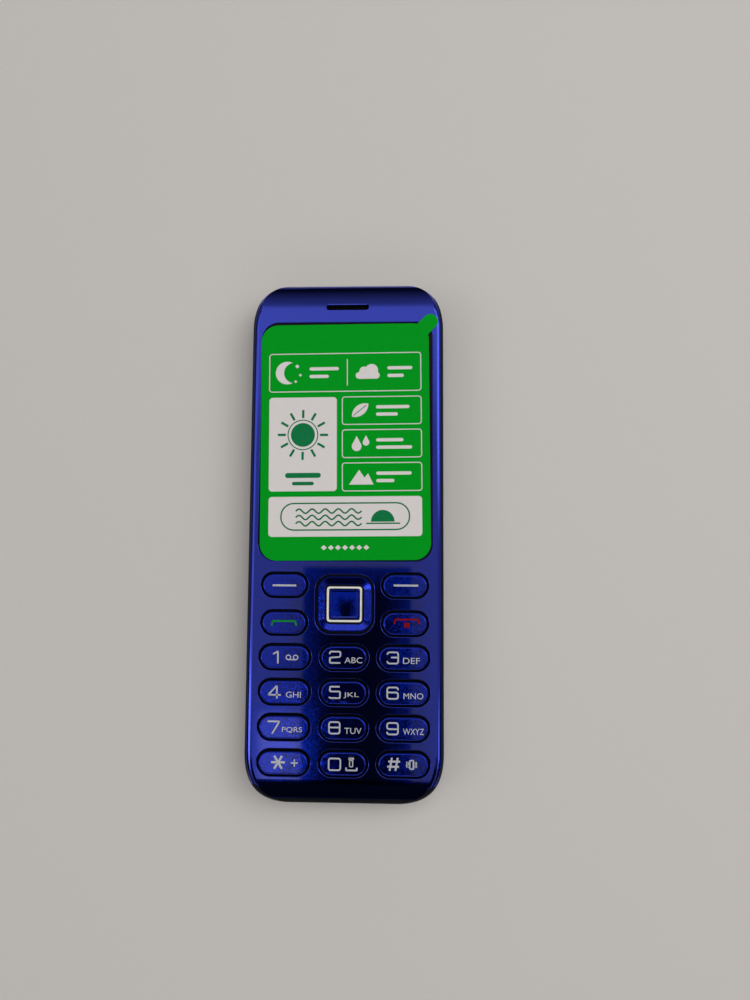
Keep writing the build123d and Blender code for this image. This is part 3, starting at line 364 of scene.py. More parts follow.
def paint(name, colour, roughness, flake, lean, reach=None, coat=1.0, shade=0.86, dome=None):
    """Flake paint under lacquer. flake is the size of one flake and lean how far the flakes tip. reach makes
    the signal that tells paint, 1, from painted shade, 0: dark, rough plastic without coat that stands in
    for the dark of rims and gaps. dome is a node and the radius of the ball that its top is part of."""
    finish = Finish(name)
    cell = finish.add("TexVoronoi", {}, {"Vector": finish.place, "Scale": 1 / flake}, out="Color")
    tip = finish.add("VectorMath", {"operation": "SUBTRACT"}, {0: cell, 1: (0.5, 0.5, 0.5)})
    tip = finish.add("VectorMath", {"operation": "SCALE"}, {0: tip, "Scale": lean})
    upright = finish.add("NewGeometry", out="Normal")
    if dome:
        upright = finish.add("VectorMath", {"operation": "ADD"}, {0: upright, 1: cushion(finish, *dome)})
    bent = finish.add("VectorMath", {"operation": "ADD"}, {0: upright, 1: tip})
    normal = finish.add("VectorMath", {"operation": "NORMALIZE"}, {0: bent})
    cloud = finish.noise(9 * mm, detail=3)
    wear = finish.noise(2.5 * mm, detail=4).rise(0.35, 0.75)
    tint = finish.mix(colour, deeper(colour, shade), cloud)
    finish.look({**lacquer, "Normal": normal, "Coat Weight": coat})
    finish.look({"Base Color": tint, "Roughness": roughness + 0.03 * wear})
    if reach:
        # painted is 1 where the paint shows and 0 where it gives way to a painted shade of dark, rough
        # plastic
        painted = reach(finish)
        finish.look({"Base Color": finish.mix(painted_shade_colour, tint, painted), "Coat Weight": painted * coat})
        smoother = (painted_shade_roughness - roughness) * painted
        finish.look({"Metallic": painted, "Roughness": painted_shade_roughness - smoother})
    return finish.material


def above(low, high):
    """Painted shade below the low height, paint above the high one."""
    return lambda finish: finish.axes()[2].rise(low, high)


beside_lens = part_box("screen_lens")[1].x + 0.3 * mm
below_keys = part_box("key_0")[0].y - 1.5 * mm
fade = 0.2 * mm


def rim_shade(finish):
    """Painted shade where the casing turns down: dark plastic late at the sides and the top end, early below.
    The small bevels round the openings turn down too, so the rims are told from them by their place."""
    lean_x, lean_y = finish.axes(finish.add("TexCoord", out="Normal"))[:2]
    x, y = finish.axes()[:2]
    sides = lean_x.size().rise(0.55, 0.75) * x.size().rise(beside_lens, beside_lens + fade)
    top_end = lean_y.rise(0.78, 0.95)
    bottom_end = lean_y.rise(-0.16, -0.26) * y.rise(below_keys, below_keys - fade)
    return (1 - sides) * (1 - top_end) * (1 - bottom_end)


ring_top = top_of("nav_ring")


def ring_shade(finish):
    """Paint on the slopes of the rocker's ring, with a painted shade in the groove round it and beside its
    metal frame.
    """
    height = finish.axes()[2]
    out_of_groove = height.rise(face - 0.70 * mm, face - 0.48 * mm)
    return out_of_groove * height.rise(ring_top - 0.02 * mm, ring_top - 0.12 * mm)


blue = (0.003, 0.022, 0.42)
key_blue = (0.004, 0.026, 0.52)
cap_top = top_of("key_1")
# Painted shade on the sides of the keys and of the middle key, for the dark of the deep gaps round them
cap_side_shade = above(cap_top - 0.26 * mm, cap_top - 0.09 * mm)
ok_side_shade = above(face, face + fade)
ok_dome = ("ok_key", 68 * mm)
finishes = {
    "housing_paint": paint("housing_paint", blue, 0.06, 0.09 * mm, 0.03, rim_shade),
    "band_paint": paint("band_paint", (0.002, 0.004, 0.020), 0.25, 0.09 * mm, 0.10),
    "cover_paint": paint("cover_paint", blue, 0.26, 0.11 * mm, 0.22),
    "key_paint": paint("key_paint", key_blue, 0.08, 0.20 * mm, 0.05, cap_side_shade, 0.5),
    "ring_paint": paint("ring_paint", key_blue, 0.13, 0.22 * mm, 0.13, ring_shade, 0.4),
    "ok_paint": paint("ok_paint", key_blue, 0.08, 0.22 * mm, 0.04, ok_side_shade, 0.5, dome=ok_dome),
}
print("paints", len(finishes))


# %% [markdown]
# ## Metals
# The rocker's frame is satin plated, the cans and sockets are rolled sheet, the screws and the shaft
# weight are turned. One recipe serves all but the frame: a grey or coloured metal whose roughness and faint
# scratches follow a noise that is drawn out in the direction the sheet was rolled or the tool ran. The
# frame has a recipe of its own: its two rounded edges look dark beside the pale band, and that dark is a
# painted shade of near black.

# %% Rolled, turned and polished metal
def metal(name, colour, roughness, grain=0.25 * mm, stretch=(1, 14, 1), depth=0.004 * mm):
    """Metal with fine streaks: grain is the width of a streak, stretch its length along each axis."""
    finish = Finish(name)
    streak = finish.noise(grain, detail=3, stretch=stretch)
    stain = finish.noise(4 * mm, detail=2)
    finish.look({"Metallic": 1.0, "Base Color": finish.mix(colour, deeper(colour, 0.82), stain)})
    finish.look({"Roughness": roughness + 0.12 * (streak - 0.5), "Normal": finish.bump(streak, depth)})
    return finish.material


def satin(name, colour, node, band, inset):
    """Pale satin plating on a square frame as wide as band. Its edges, as wide as inset, carry a painted
    shade of near black.
    """
    finish = Finish(name)
    grain = finish.noise(0.3 * mm, detail=3)
    pale = finish.mix(colour, deeper(colour, 0.9), finish.noise(3 * mm))
    across, along = finish.axes()[:2]
    reach = (across - middle(node).x).size().larger((along - middle(node).y).size())
    outer = (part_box(node)[1].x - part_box(node)[0].x) / 2
    # lit is the pale band between the rounded edges; outside it a near black is painted shade
    lit = reach.rise(outer, outer - inset) * reach.rise(outer - band, outer - band + inset)
    finish.look({"Base Color": finish.mix((0.01, 0.01, 0.03), pale, lit), "Metallic": 0.25})
    finish.look({"Roughness": 0.42 + 0.1 * (grain - 0.5)})
    finish.look({"Normal": finish.bump(grain, 0.001 * mm)})
    return finish.material


finishes.update({
    "bright_chrome": satin("bright_chrome", (0.86, 0.84, 0.80), "nav_frame", 0.85 * mm, 0.33 * mm),
    "trim_chrome": metal("trim_chrome", (0.80, 0.81, 0.83), 0.14, 0.2 * mm, (1, 1, 1), 0.002 * mm),
    "tray_steel": metal("tray_steel", (0.60, 0.61, 0.62), 0.30),
    "socket_steel": metal("socket_steel", (0.66, 0.67, 0.69), 0.28, stretch=(14, 1, 1)),
    "can_steel": metal("can_steel", (0.63, 0.63, 0.62), 0.34, stretch=(14, 1, 1)),
    "usb_steel": metal("usb_steel", (0.68, 0.69, 0.71), 0.22, stretch=(1, 10, 1)),
    "motor_steel": metal("motor_steel", (0.62, 0.63, 0.65), 0.24, stretch=(1, 12, 1)),
    "weight_metal": metal("weight_metal", (0.42, 0.42, 0.43), 0.38, 0.1 * mm, (1, 1, 1), 0.01 * mm),
    "mic_steel": metal("mic_steel", (0.60, 0.58, 0.54), 0.30, stretch=(6, 1, 1)),
    "screw_steel": metal("screw_steel", (0.30, 0.30, 0.31), 0.30, 0.06 * mm, (1, 1, 1), 0.006 * mm),
    "contact_gold": metal("contact_gold", (0.90, 0.62, 0.22), 0.22, 0.1 * mm, (1, 8, 1), 0.002 * mm),
    "antenna_copper": metal("antenna_copper", (0.72, 0.38, 0.22), 0.30, 0.2 * mm, (12, 1, 1), 0.003 * mm),
    "dome_foil": metal("dome_foil", (0.74, 0.73, 0.70), 0.26, 0.3 * mm, (1, 6, 1), 0.003 * mm),
    "earpiece_steel": metal("earpiece_steel", (0.015, 0.015, 0.017), 0.5, 0.05 * mm, (1, 1, 1), 0.002 * mm),
})
print("finishes so far", len(finishes))


# %% [markdown]
# ## Plastics, rubber and foam
# Moulded plastic has a fine spark-eroded grain from its mould, silicone is smoother and a little greasy,
# and foam has open cells. They differ in grain, depth and gloss only, so one recipe takes those as sizes.

# %% Moulded and cast parts
def moulded(name, colour, roughness, grain=0.12 * mm, depth=0.01 * mm, speck=0.8, coat=0.0, gloss=0.5):
    """Plastic or rubber: grain and depth are the size of its surface texture, speck its darker tone."""
    finish = Finish(name)
    texture = finish.noise(grain, detail=4)
    flow = finish.noise(5 * mm, detail=2, stretch=(1, 3, 1))
    tone = finish.mix(colour, deeper(colour, speck), flow)
    finish.look({"Base Color": tone, "Specular IOR Level": gloss, "Coat Weight": coat})
    finish.look({"Coat Roughness": 0.08})
    finish.look({"Roughness": roughness + 0.15 * (texture - 0.5), "Normal": finish.bump(texture, depth)})
    return finish.material


def cells(name, colour, roughness, size, depth):
    """Open foam: round cells pressed into the surface, with a painted shade in the hollow of each cell."""
    finish = Finish(name)
    gap = finish.add("TexVoronoi", {}, {"Vector": finish.place, "Scale": 1 / size}, out="Distance")
    wall = gap.rise(0.15, 0.6)
    # Painted shade: each cell darker towards its middle, where its hollow lies
    finish.look({"Base Color": finish.mix(deeper(colour, 0.5), colour, wall), "Roughness": roughness})
    finish.look({"Normal": finish.bump(wall, depth)})
    return finish.material


finishes.update({
    "nav_silicone": moulded("nav_silicone", (0.005, 0.005, 0.007), 0.5, 0.2 * mm, 0.006 * mm, gloss=0.15),
    "mat_silicone": moulded("mat_silicone", (0.008, 0.008, 0.010), 0.55, 0.3 * mm, 0.006 * mm, gloss=0.15),
    "adhesive_tape": moulded("adhesive_tape", (0.03, 0.03, 0.03), 0.65, 0.4 * mm, 0.01 * mm),
    "receiver_black": moulded("receiver_black", (0.03, 0.03, 0.03), 0.4),
    "connector_black": moulded("connector_black", (0.025, 0.025, 0.025), 0.42),
    "chip_black": moulded("chip_black", (0.03, 0.03, 0.032), 0.6, 0.06 * mm, 0.006 * mm),
    "camera_black": moulded("camera_black", (0.02, 0.02, 0.02), 0.35, 0.08 * mm, 0.004 * mm, coat=0.3),
    "speaker_black": moulded("speaker_black", (0.03, 0.03, 0.03), 0.5),
    "jack_black": moulded("jack_black", (0.02, 0.02, 0.02), 0.38),
    "led_white": moulded("led_white", (0.80, 0.78, 0.60), 0.35, 0.1 * mm, 0.003 * mm, coat=0.5),
    "light_guide": moulded("light_guide", (0.78, 0.79, 0.80), 0.3, 0.5 * mm, 0.004 * mm),
    "foam": cells("foam", (0.05, 0.05, 0.05), 0.95, 0.18 * mm, 0.05 * mm),
})
print("finishes so far", len(finishes))


# %% [markdown]
# ## Lens, film and windows
# The lens is clear acrylic with a black border printed on its back, and behind it lies a display that is
# switched off, so it reads as black with a picture area that is a trace lighter. The film over it is thin
# printed plastic with hardly any gloss. The camera and torch windows are really clear.

# %% Glossy sheets and clear windows
picture_low, picture_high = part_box("display_glass")
picture_inset = 2.2 * mm


def lens_finish():
    """Black gloss, a trace lighter where the display lies behind it."""
    finish = Finish("lens_black")
    across, along = finish.axes()[:2]
    centre = (picture_low + picture_high) / 2
    half = (picture_high - picture_low) / 2
    edge = 0.2 * mm
    beside = (across - centre.x).size().rise(half.x - picture_inset + edge, half.x - picture_inset - edge)
    above_it = (along - centre.y).size().rise(half.y - picture_inset + edge, half.y - picture_inset - edge)
    smear = finish.noise(6 * mm, detail=5)
    finish.look({"Base Color": finish.mix((0.002, 0.002, 0.002), (0.012, 0.012, 0.015), beside * above_it)})
    finish.look({"Roughness": 0.06 + 0.06 * smear, "Specular IOR Level": 0.12})
    return finish.material


def printed_film(name, colour, shade, roughness=0.42, gloss=0.04):
    """Printed plastic film: ink of one colour with the slight mottle of a screen print."""
    finish = Finish(name)
    mottle = finish.noise(1.8 * mm, detail=4)
    grain = finish.noise(0.25 * mm, detail=2)
    tone = finish.mix(colour, deeper(colour, shade), mottle)
    finish.look({"Base Color": tone, "Specular IOR Level": gloss})
    finish.look({"Roughness": roughness + 0.1 * (grain - 0.5)})
    return finish.material


def clear(name, tint, roughness=0.03):
    """Clear plastic or glass with a faint tint."""
    finish = Finish(name)
    haze = finish.noise(1.2 * mm, detail=3)
    finish.look({"Base Color": finish.mix(tint, (1.0, 1.0, 1.0), haze), "Transmission Weight": 0.85})
    finish.look({"Roughness": roughness + 0.03 * haze, "IOR": 1.49})
    return finish.material


finishes.update({
    "lens_black": lens_finish(),
    "film": printed_film("film", (0.0, 0.285, 0.012), 0.90),
    "clear_window": clear("clear_window", (0.90, 0.93, 0.95)),
    "display_panel": printed_film("display_panel", (0.035, 0.035, 0.042), 0.8, 0.12, 0.5),
})
print("finishes so far", len(finishes))


# %% [markdown]
# ## Board, battery wrap and cloth
# The circuit board is glass fibre under blue-green lacquer, with copper tracks that show as paler lines and
# small gold pads. The battery is wrapped in printed film with a folded seam near each end. The cloth over
# the loudspeaker is a plain weave. Each is a pattern laid out in millimetres from the Object coordinates.

# %% Tracks, seams and weave
def board_finish():
    """Green lacquer over tracks that run straight, with a pad here and there."""
    finish = Finish("circuit_board")
    pitch = 1.3 * mm
    cracks = {"Vector": finish.place, "Scale": 0.6 / pitch}
    tracks = finish.add("TexVoronoi", {"feature": "DISTANCE_TO_EDGE"}, cracks, out="Distance")
    track = tracks.rise(0.10, 0.07)
    square = {"Vector": finish.place, "Scale": 1 / pitch, "Randomness": 0.2}
    dots = finish.add("TexVoronoi", {"distance": "CHEBYCHEV"}, square)
    pad = dots.rise(0.24, 0.20)
    lacquer = finish.mix((0.004, 0.060, 0.035), (0.010, 0.130, 0.070), track)
    finish.look({"Base Color": finish.mix(lacquer, (0.80, 0.58, 0.25), pad), "Metallic": pad})
    finish.look({"Roughness": 0.38 - 0.1 * pad, "Normal": finish.bump(track, 0.02 * mm), "Coat Weight": 0.3})
    return finish.material


def wrap_finish():
    """Dark battery film: a paler plain band and a folded seam near each end."""
    finish = Finish("battery_wrap")
    low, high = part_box("battery")
    seam_inset = 3.2 * mm
    fold = 0.25 * mm
    along = (finish.axes()[1] - (low.y + high.y) / 2).size()
    half = (high.y - low.y) / 2
    seam = (along - (half - seam_inset)).size().rise(fold, 0)
    band = along.rise(half * 0.45, half * 0.45 - fold)
    crease = finish.noise(2.2 * mm, detail=3)
    ink = finish.mix((0.030, 0.032, 0.038), (0.055, 0.075, 0.16), band)
    finish.look({"Base Color": finish.mix(ink, (0.12, 0.12, 0.12), seam), "Roughness": 0.34 + 0.12 * crease})
    finish.look({"Normal": finish.bump(seam + 0.25 * crease, 0.05 * mm), "Coat Weight": 0.25})
    return finish.material


# A wave texture's own wave, at a scale of 1
wave_width = 0.314


def weave(name, colour, pitch):
    """Plain weave: two sets of threads that pass over and under each other, with a painted shade between
    them.
    """
    finish = Finish(name)
    bands = {"wave_type": "BANDS", "wave_profile": "SIN"}
    even = {"Vector": finish.place, "Scale": wave_width / pitch}
    warp = finish.add("TexWave", {**bands, "bands_direction": "X"}, even)
    weft = finish.add("TexWave", {**bands, "bands_direction": "Y"}, even)
    thread = warp.larger(weft)
    # Painted shade: darker where neither thread is high, in the gaps between the threads
    finish.look({"Base Color": finish.mix(deeper(colour, 0.35), colour, thread), "Roughness": 0.85})
    finish.look({"Normal": finish.bump(thread, 0.04 * mm)})
    return finish.material


finishes.update({
    "circuit_board": board_finish(),
    "battery_wrap": wrap_finish(),
    "speaker_cloth": weave("speaker_cloth", (0.03, 0.03, 0.03), 0.25 * mm),
})

# %% Give every solid its finish
for part in frame["record"]["subparts"]:
    solid = nodes[part["node"]]
    solid.data.materials.clear()
    solid.data.materials.append(finishes[part["material_slot"]])


# %% [markdown]
# ## Thin print as geometry
# Signs on the keys and the picture on the film are ink a few hundredths of a millimetre thick. A texture
# would need an image, so they are modelled: strokes of even width, and flat shapes with a filled outline.
# A stroke is drawn as a chain of points. Geometry Nodes round its corners and sweep a flat bar along it,
# which is quicker to change than a hand-built ribbon.

# %% A recipe: a Geometry Nodes tree with named inputs
ink_height = 0.02 * mm
layer_step = 0.001 * mm


class Recipe(Graph):
    """A Geometry Nodes tree. Its inputs are numbers, counts and the material of what it makes."""

    def __init__(self, name, numbers, counts=()):
        super().__init__(bpy.data.node_groups.new(name, "GeometryNodeTree"))
        ports = [("Geometry", "Geometry")] + [(count, "Int") for count in counts]
        ports += [(number, "Float") for number in numbers] + [("Material", "Material")]
        for port, kind in ports:
            self.tree.interface.new_socket(port, in_out="INPUT", socket_type="NodeSocket" + kind)
        self.tree.interface.new_socket("Geometry", in_out="OUTPUT", socket_type="NodeSocketGeometry")
        self.inputs = self.tree.nodes.new("NodeGroupInput").outputs
        self.end = self.tree.nodes.new("NodeGroupOutput")

    def given(self, name):
        return Signal(self, self.inputs[name])

    def vector(self, x=0.0, y=0.0, z=0.0):
        return self.add("CombineXYZ", {}, {0: x, 1: y, 2: z})

    def close(self, geometry):
        """Turn copies into real mesh, dress them and end the tree."""
        real = self.add("GeometryNodeRealizeInstances", {}, {"Geometry": geometry})
        dress = {"Geometry": real, "Material": self.given("Material")}
        self.feed(self.end.inputs["Geometry"], self.add("GeometryNodeSetMaterial", {}, dress))
        return self.tree


# %% The stroke tree
def stroke_tree():
    """Rounds every corner of a chain of edges and sweeps a flat bar along it."""
    recipe = Recipe("strokes", ("Width", "Height", "Corner"))
    chain = recipe.add("GeometryNodeMeshToCurve", {}, {"Mesh": recipe.given("Geometry")})
    turns = {"Curve": chain, "Count": 6, "Radius": recipe.given("Corner"), "Limit Radius": True}
    smooth = recipe.add("GeometryNodeFilletCurve", {"mode": "POLY"}, turns)
    level = recipe.add("GeometryNodeSetCurveNormal", {"mode": "Z_UP"}, {"Curve": smooth})
    flat = {"Width": recipe.given("Width"), "Height": recipe.given("Height")}
    section = recipe.add("GeometryNodeCurvePrimitiveQuadrilateral", {}, flat)
    swept = {"Curve": level, "Profile Curve": section, "Fill Caps": True}
    return recipe.close(recipe.add("GeometryNodeCurveToMesh", {}, swept))


strokes_tree = stroke_tree()
print("stroke tree with", len(strokes_tree.nodes), "nodes")


# %% Run a tree and keep the plain mesh
def run_tree(name, mesh, tree, inputs):
    """The mesh that a Geometry Nodes tree makes from another mesh, with its named inputs set."""
    carrier = bpy.data.objects.new(name, mesh)
    bpy.context.scene.collection.objects.link(carrier)
    modifier = carrier.modifiers.new("tree", "NODES")
    modifier.node_group = tree
    for port in tree.interface.items_tree:
        if port.in_out == "INPUT" and port.name in inputs:
            modifier[port.identifier] = inputs[port.name]
    plan = bpy.context.evaluated_depsgraph_get()
    result = bpy.data.meshes.new_from_object(carrier.evaluated_get(plan))
    bpy.data.objects.remove(carrier)
    return result


def strokes(chains, width, corner, base, material):
    """Bars along chains. A chain is (points, closed) in metres; each lies a hair above the one before."""
    points, edges = [], []
    for layer, (chain, closed) in enumerate(chains):
        first = len(points)
        points += [(x, y, base + ink_height / 2 + layer * layer_step) for x, y in chain]
        edges += [(first + i, first + i + 1) for i in range(len(chain) - 1)]
        if closed:
            edges.append((len(points) - 1, first))
    mesh = bpy.data.meshes.new("chains")
    mesh.from_pydata(points, edges, [])
    sizes = {"Width": width, "Height": ink_height, "Corner": corner, "Material": material}
    return run_tree("strokes", mesh, strokes_tree, sizes)


# %% Filled shapes and joining
def filled(outlines, base, material):
    """Flat plates from outlines, each a list of (x, y) points."""
    mesh = bmesh.new()
    for outline in outlines:
        lower = mesh.faces.new([mesh.verts.new((x, y, base)) for x, y in outline])
        grown = bmesh.ops.extrude_face_region(mesh, geom=[lower])
        raised = [part for part in grown["geom"] if isinstance(part, bmesh.types.BMVert)]
        bmesh.ops.translate(mesh, verts=raised, vec=(0, 0, ink_height))
    bmesh.ops.recalc_face_normals(mesh, faces=mesh.faces)
    result = bpy.data.meshes.new("plates")
    mesh.to_mesh(result)
    mesh.free()
    result.materials.append(material)
    return result


def joined(name, meshes, body):
    """One piece from several meshes that share their materials in order of first use."""
    materials = []
    mesh = bmesh.new()
    for part in meshes:
        start = len(mesh.faces)
        mesh.from_mesh(part)
        mesh.faces.ensure_lookup_table()
        # Copies made real bring an empty slot, so the material that a tree sets is the last one
        if part.materials[-1] not in materials:
            materials.append(part.materials[-1])
        for face_made in mesh.faces[start:]:
            face_made.material_index = materials.index(part.materials[-1])
    result = bpy.data.meshes.new(name)
    mesh.to_mesh(result)
    mesh.free()
    for material in materials:
        result.materials.append(material)
    piece = bpy.data.objects.new(name, result)
    bpy.context.scene.collection.objects.link(piece)
    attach(piece, body)
    return piece


# %% [markdown]
# ## Signs on the keys
# The digits are drawn with one stroke width and squared loops, the letters are a plain upright face. All
# of them are pale ink, except the green and the red sign of the call keys. A glyph is written in shares of
# its own box and stretched to its size, so a digit can be moved or widened without touching its shape.
# A text object would do for the digits too, but its face has no such squared loops.

# %% Glyphs in shares of their box
tick = 0.22
step = 0.07
glyphs = {
    "0": [([(0, 0), (1, 0), (1, 1), (0, 1)], True)],
    "1": [([(0.40, 0.74), (0.86, 1), (0.86, -0.10)], False)],
    "2": [([(0, 1 - tick), (0, 1), (1, 1), (1, 0.54), (0, 0.46), (0, 0), (1, 0)], False)],
    "3": [([(0, 1 - tick), (0, 1), (1, 1), (1, 0), (0, 0), (0, tick)], False),
          ([(0.34, 0.54), (1 - step, 0.54)], False)],
    "4": [([(1.20, 0.22), (0, 0.22), (0.82, 1.06), (0.82, -0.10)], False)],
    "5": [([(0.96, 1), (0.06, 1), (0.02, 0.58), (1, 0.58), (1, 0), (0, 0), (0, tick / 2)], False)],
    "6": [([(1, 1 - tick), (1, 1), (0, 1), (0, 0), (1, 0), (1, 0.56), (step, 0.56)], False)],
    "7": [([(0, 1), (1.12, 1), (0.44, -0.08)], False)],
    "8": [([(0, 0), (1, 0), (1, 1), (0, 1)], True), ([(step, 0.53), (1 - step, 0.53)], False)],
    "9": [([(0, tick), (0, 0), (1, 0), (1, 1), (0, 1), (0, 0.46), (1 - step, 0.46)], False)],
    "star": [([(0, 0.5), (1, 0.5)], False), ([(0.22, 0), (0.78, 1)], False),
             ([(0.78, 0), (0.22, 1)], False)],
    "hash": [([(0, 0.30), (0.92, 0.30)], False), ([(0.08, 0.70), (1, 0.70)], False),
             ([(0.18, 0), (0.36, 1)], False), ([(0.64, 0), (0.82, 1)], False)],
    "plus": [([(0, 0.5), (1, 0.5)], False), ([(0.5, 0), (0.5, 1)], False)],
    "dash": [([(0, 0.5), (1, 0.5)], False)],
    "handset": [([(0, 0), (0.05, 1), (0.95, 1), (1, 0)], False)],
    "tray": [([(0, 1), (0, 0), (1, 0), (1, 1)], False)],
    "frame": [([(0, 0), (1, 0), (1, 1), (0, 1)], True)],
    "shiver": [([(0, 0.9), (1, 0.63), (0, 0.37), (1, 0.1)], False)],
}
corner_sizes = {"2": 0.34 * mm, "5": 0.26 * mm}
round_corner = 0.52 * mm
sharp_corner = 0.10 * mm
rounded_glyphs = "03689"


def placed(glyph, box, centre):
    """A glyph's chains stretched to a box (left, right, bottom, top in mm) about a centre."""
    left, right, bottom, top = (value * mm for value in box)
    low_x, low_y = centre.x + left, centre.y + bottom
    wide, tall = right - left, top - bottom
    return [([(low_x + wide * x, low_y + tall * y) for x, y in one], closed) for one, closed in glyphs[glyph]]


def ring(centre_x, centre_y, radius, count=24):
    """Points round a circle."""
    turns = [2 * math.pi * i / count for i in range(count)]
    return [(centre_x + radius * math.cos(turn), centre_y + radius * math.sin(turn)) for turn in turns]


def lettering(body, box, centre, base, material):
    """Upright letters made a mesh, then stretched to a box about a centre."""
    text = bpy.data.curves.new("letters", "FONT")
    text.body = body
    text.resolution_u = 3
    text.extrude = ink_height / 2
    carrier = bpy.data.objects.new("letters", text)
    bpy.context.scene.collection.objects.link(carrier)
    plan = bpy.context.evaluated_depsgraph_get()
    mesh = bpy.data.meshes.new_from_object(carrier.evaluated_get(plan))
    bpy.data.objects.remove(carrier)
    low = Vector(min(v.co[i] for v in mesh.vertices) for i in range(3))
    high = Vector(max(v.co[i] for v in mesh.vertices) for i in range(3))
    left, right, bottom, top = (value * mm for value in box)
    for vertex in mesh.vertices:
        vertex.co.x = centre.x + left + (right - left) * (vertex.co.x - low.x) / (high.x - low.x)
        vertex.co.y = centre.y + bottom + (top - bottom) * (vertex.co.y - low.y) / (high.y - low.y)
        vertex.co.z += base + ink_height / 2
    mesh.materials.clear()
    mesh.materials.append(material)
    return mesh


# %% Ink and stroke sizes
pale_ink = printed_film("pale_ink", (0.44, 0.45, 0.49), 0.9)
green_ink = printed_film("green_ink", (0.008, 0.21, 0.014), 0.9)
red_ink = printed_film("red_ink", (0.20, 0.004, 0.008), 0.9)
dot = 1.3 * mm
star_stroke = 0.56 * mm
dash_stroke = 0.50 * mm
hash_stroke = 0.48 * mm
call_stroke = 0.46 * mm
bold = 0.40 * mm
medium = 0.34 * mm
fine = 0.27 * mm
thin = 0.20 * mm


def sign(node, glyph, box, width, ink):
    """One glyph as bars on top of a key."""
    corner = corner_sizes.get(glyph, round_corner if glyph in rounded_glyphs else sharp_corner)
    return strokes(placed(glyph, box, middle(node)), width, corner, cap_top, ink)


# %% Which sign goes where on its key, in mm from the middle of the key
digit_box = (-4.00, -1.32, -1.30, 1.45)
middle_digit_box = (-3.52, -0.88, -1.30, 1.48)
letter_rows = (-1.32, 0.13)
letters = {
    "2": ("ABC", 0.18, 4.60), "3": ("DEF", -0.10, 4.10), "4": ("GHI", 0.46, 4.20),
    "5": ("JKL", 0.00, 3.80), "6": ("MNO", 0.05, 4.95), "7": ("PQRS", -0.36, 4.62),
    "8": ("TUV", 0.30, 4.55), "9": ("WXYZ", -0.05, 5.10),
}
torch_rays = [("dash", (x, x + 0.01, 2.0, 2.0), bold, pale_ink) for x in (1.50, 2.05, 2.60)]
extra_signs = {
    "key_soft_left": [("dash", (-3.00, 3.00, -0.12, -0.12), dash_stroke, pale_ink)],
    "key_soft_right": [("dash", (-2.85, 3.30, 0.05, 0.05), dash_stroke, pale_ink)],
    "key_call": [("handset", (-3.15, 3.15, -0.72, 0.42), call_stroke, green_ink)],
    "key_end": [("handset", (-2.70, 3.60, -0.05, 1.07), call_stroke, red_ink),
                ("dash", (-0.2, 1.1, -0.35, -0.35), dot, red_ink)],
    "key_star": [("star", (-2.92, 0.50, -1.38, 1.72), star_stroke, pale_ink),
                 ("plus", (1.95, 3.72, -0.82, 0.92), medium, pale_ink)],
    "key_0": [("0", (-3.50, -0.62, -1.50, 1.30), bold, pale_ink),
              ("tray", (0.81, 3.45, -1.49, -0.80), bold, pale_ink),
              ("frame", (1.66, 2.44, -0.60, 0.90), fine, pale_ink),
              ("frame", (1.46, 2.64, 1.10, 1.45), fine, pale_ink)] + torch_rays,
    "key_hash": [("hash", (-3.90, -0.78, -1.38, 1.72), hash_stroke, pale_ink),
                 ("frame", (1.62, 2.52, -0.95, 1.10), medium, pale_ink)]
                + [("shiver", (x, x + 0.16, -0.80, 1.00), thin, pale_ink) for x in (0.78, 1.14, 2.84, 3.20)],
}
signs = {node: [sign(node, *one) for one in rows] for node, rows in extra_signs.items()}
for digit in "123456789":
    node = "key_" + digit
    box = middle_digit_box if digit in "258" else digit_box
    signs[node] = [sign(node, digit, box, bold, pale_ink)]
    if digit in letters:
        word, left, right = letters[digit]
        signs[node].append(lettering(word, (left, right, *letter_rows), middle(node), cap_top, pale_ink))

# The message sign on the first key: two loops on one line
loop_radius = 0.56 * mm
loop_span = 0.90 * mm
loop_middle = middle("key_1") + Vector((1.84, -0.05, 0)) * mm
loops = [(ring(loop_middle.x + way * loop_span, loop_middle.y, loop_radius), True) for way in (-1, 1)]
loops.append(([(loop_middle.x + way * loop_span, loop_middle.y - loop_radius) for way in (-1, 1)], False))
signs["key_1"].append(strokes(loops, fine, 0, cap_top, pale_ink))

for node, meshes in signs.items():
    joined(node.replace("key", "sign"), meshes, nodes[node]["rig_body"])
print("signs on", len(signs), "keys")


# %% [markdown]
# ## The printed film
# New phones are sold with a film over the screen that praises them. Its green ground, white panels and
# outlined boxes are kept here as colours and sizes. What they hold is a plain weather theme: moon, cloud,
# leaf, drop, hills, sun and waves, with bars where words would stand. All of it is laid out in the film's
# own coordinates and turned with it, because the film is stuck on a little crooked.

# %% Film coordinates
film_turn = math.radians(0.6)
film_shift = 0.3 * mm
film_drop = 0.15 * mm
film_middle = middle("screen_lens") - Vector((film_shift, film_drop, 0))
film_top = top_of("protective_film")
white_ink = printed_film("white_ink", (0.62, 0.595, 0.595), 0.96)
leaf_ink = printed_film("leaf_ink", (0.006, 0.160, 0.052), 0.9)
box_line = 0.26 * mm
capsule_line = 0.36 * mm
wave_line = 0.40 * mm
rib_line = 0.2 * mm


def on_film(points):
    """Millimetres about the middle of the film to metres in the frame, turned as the film is."""
    cos, sin = math.cos(film_turn) * mm, math.sin(film_turn) * mm
    return [(film_middle.x + x * cos - y * sin, film_middle.y + x * sin + y * cos) for x, y in points]


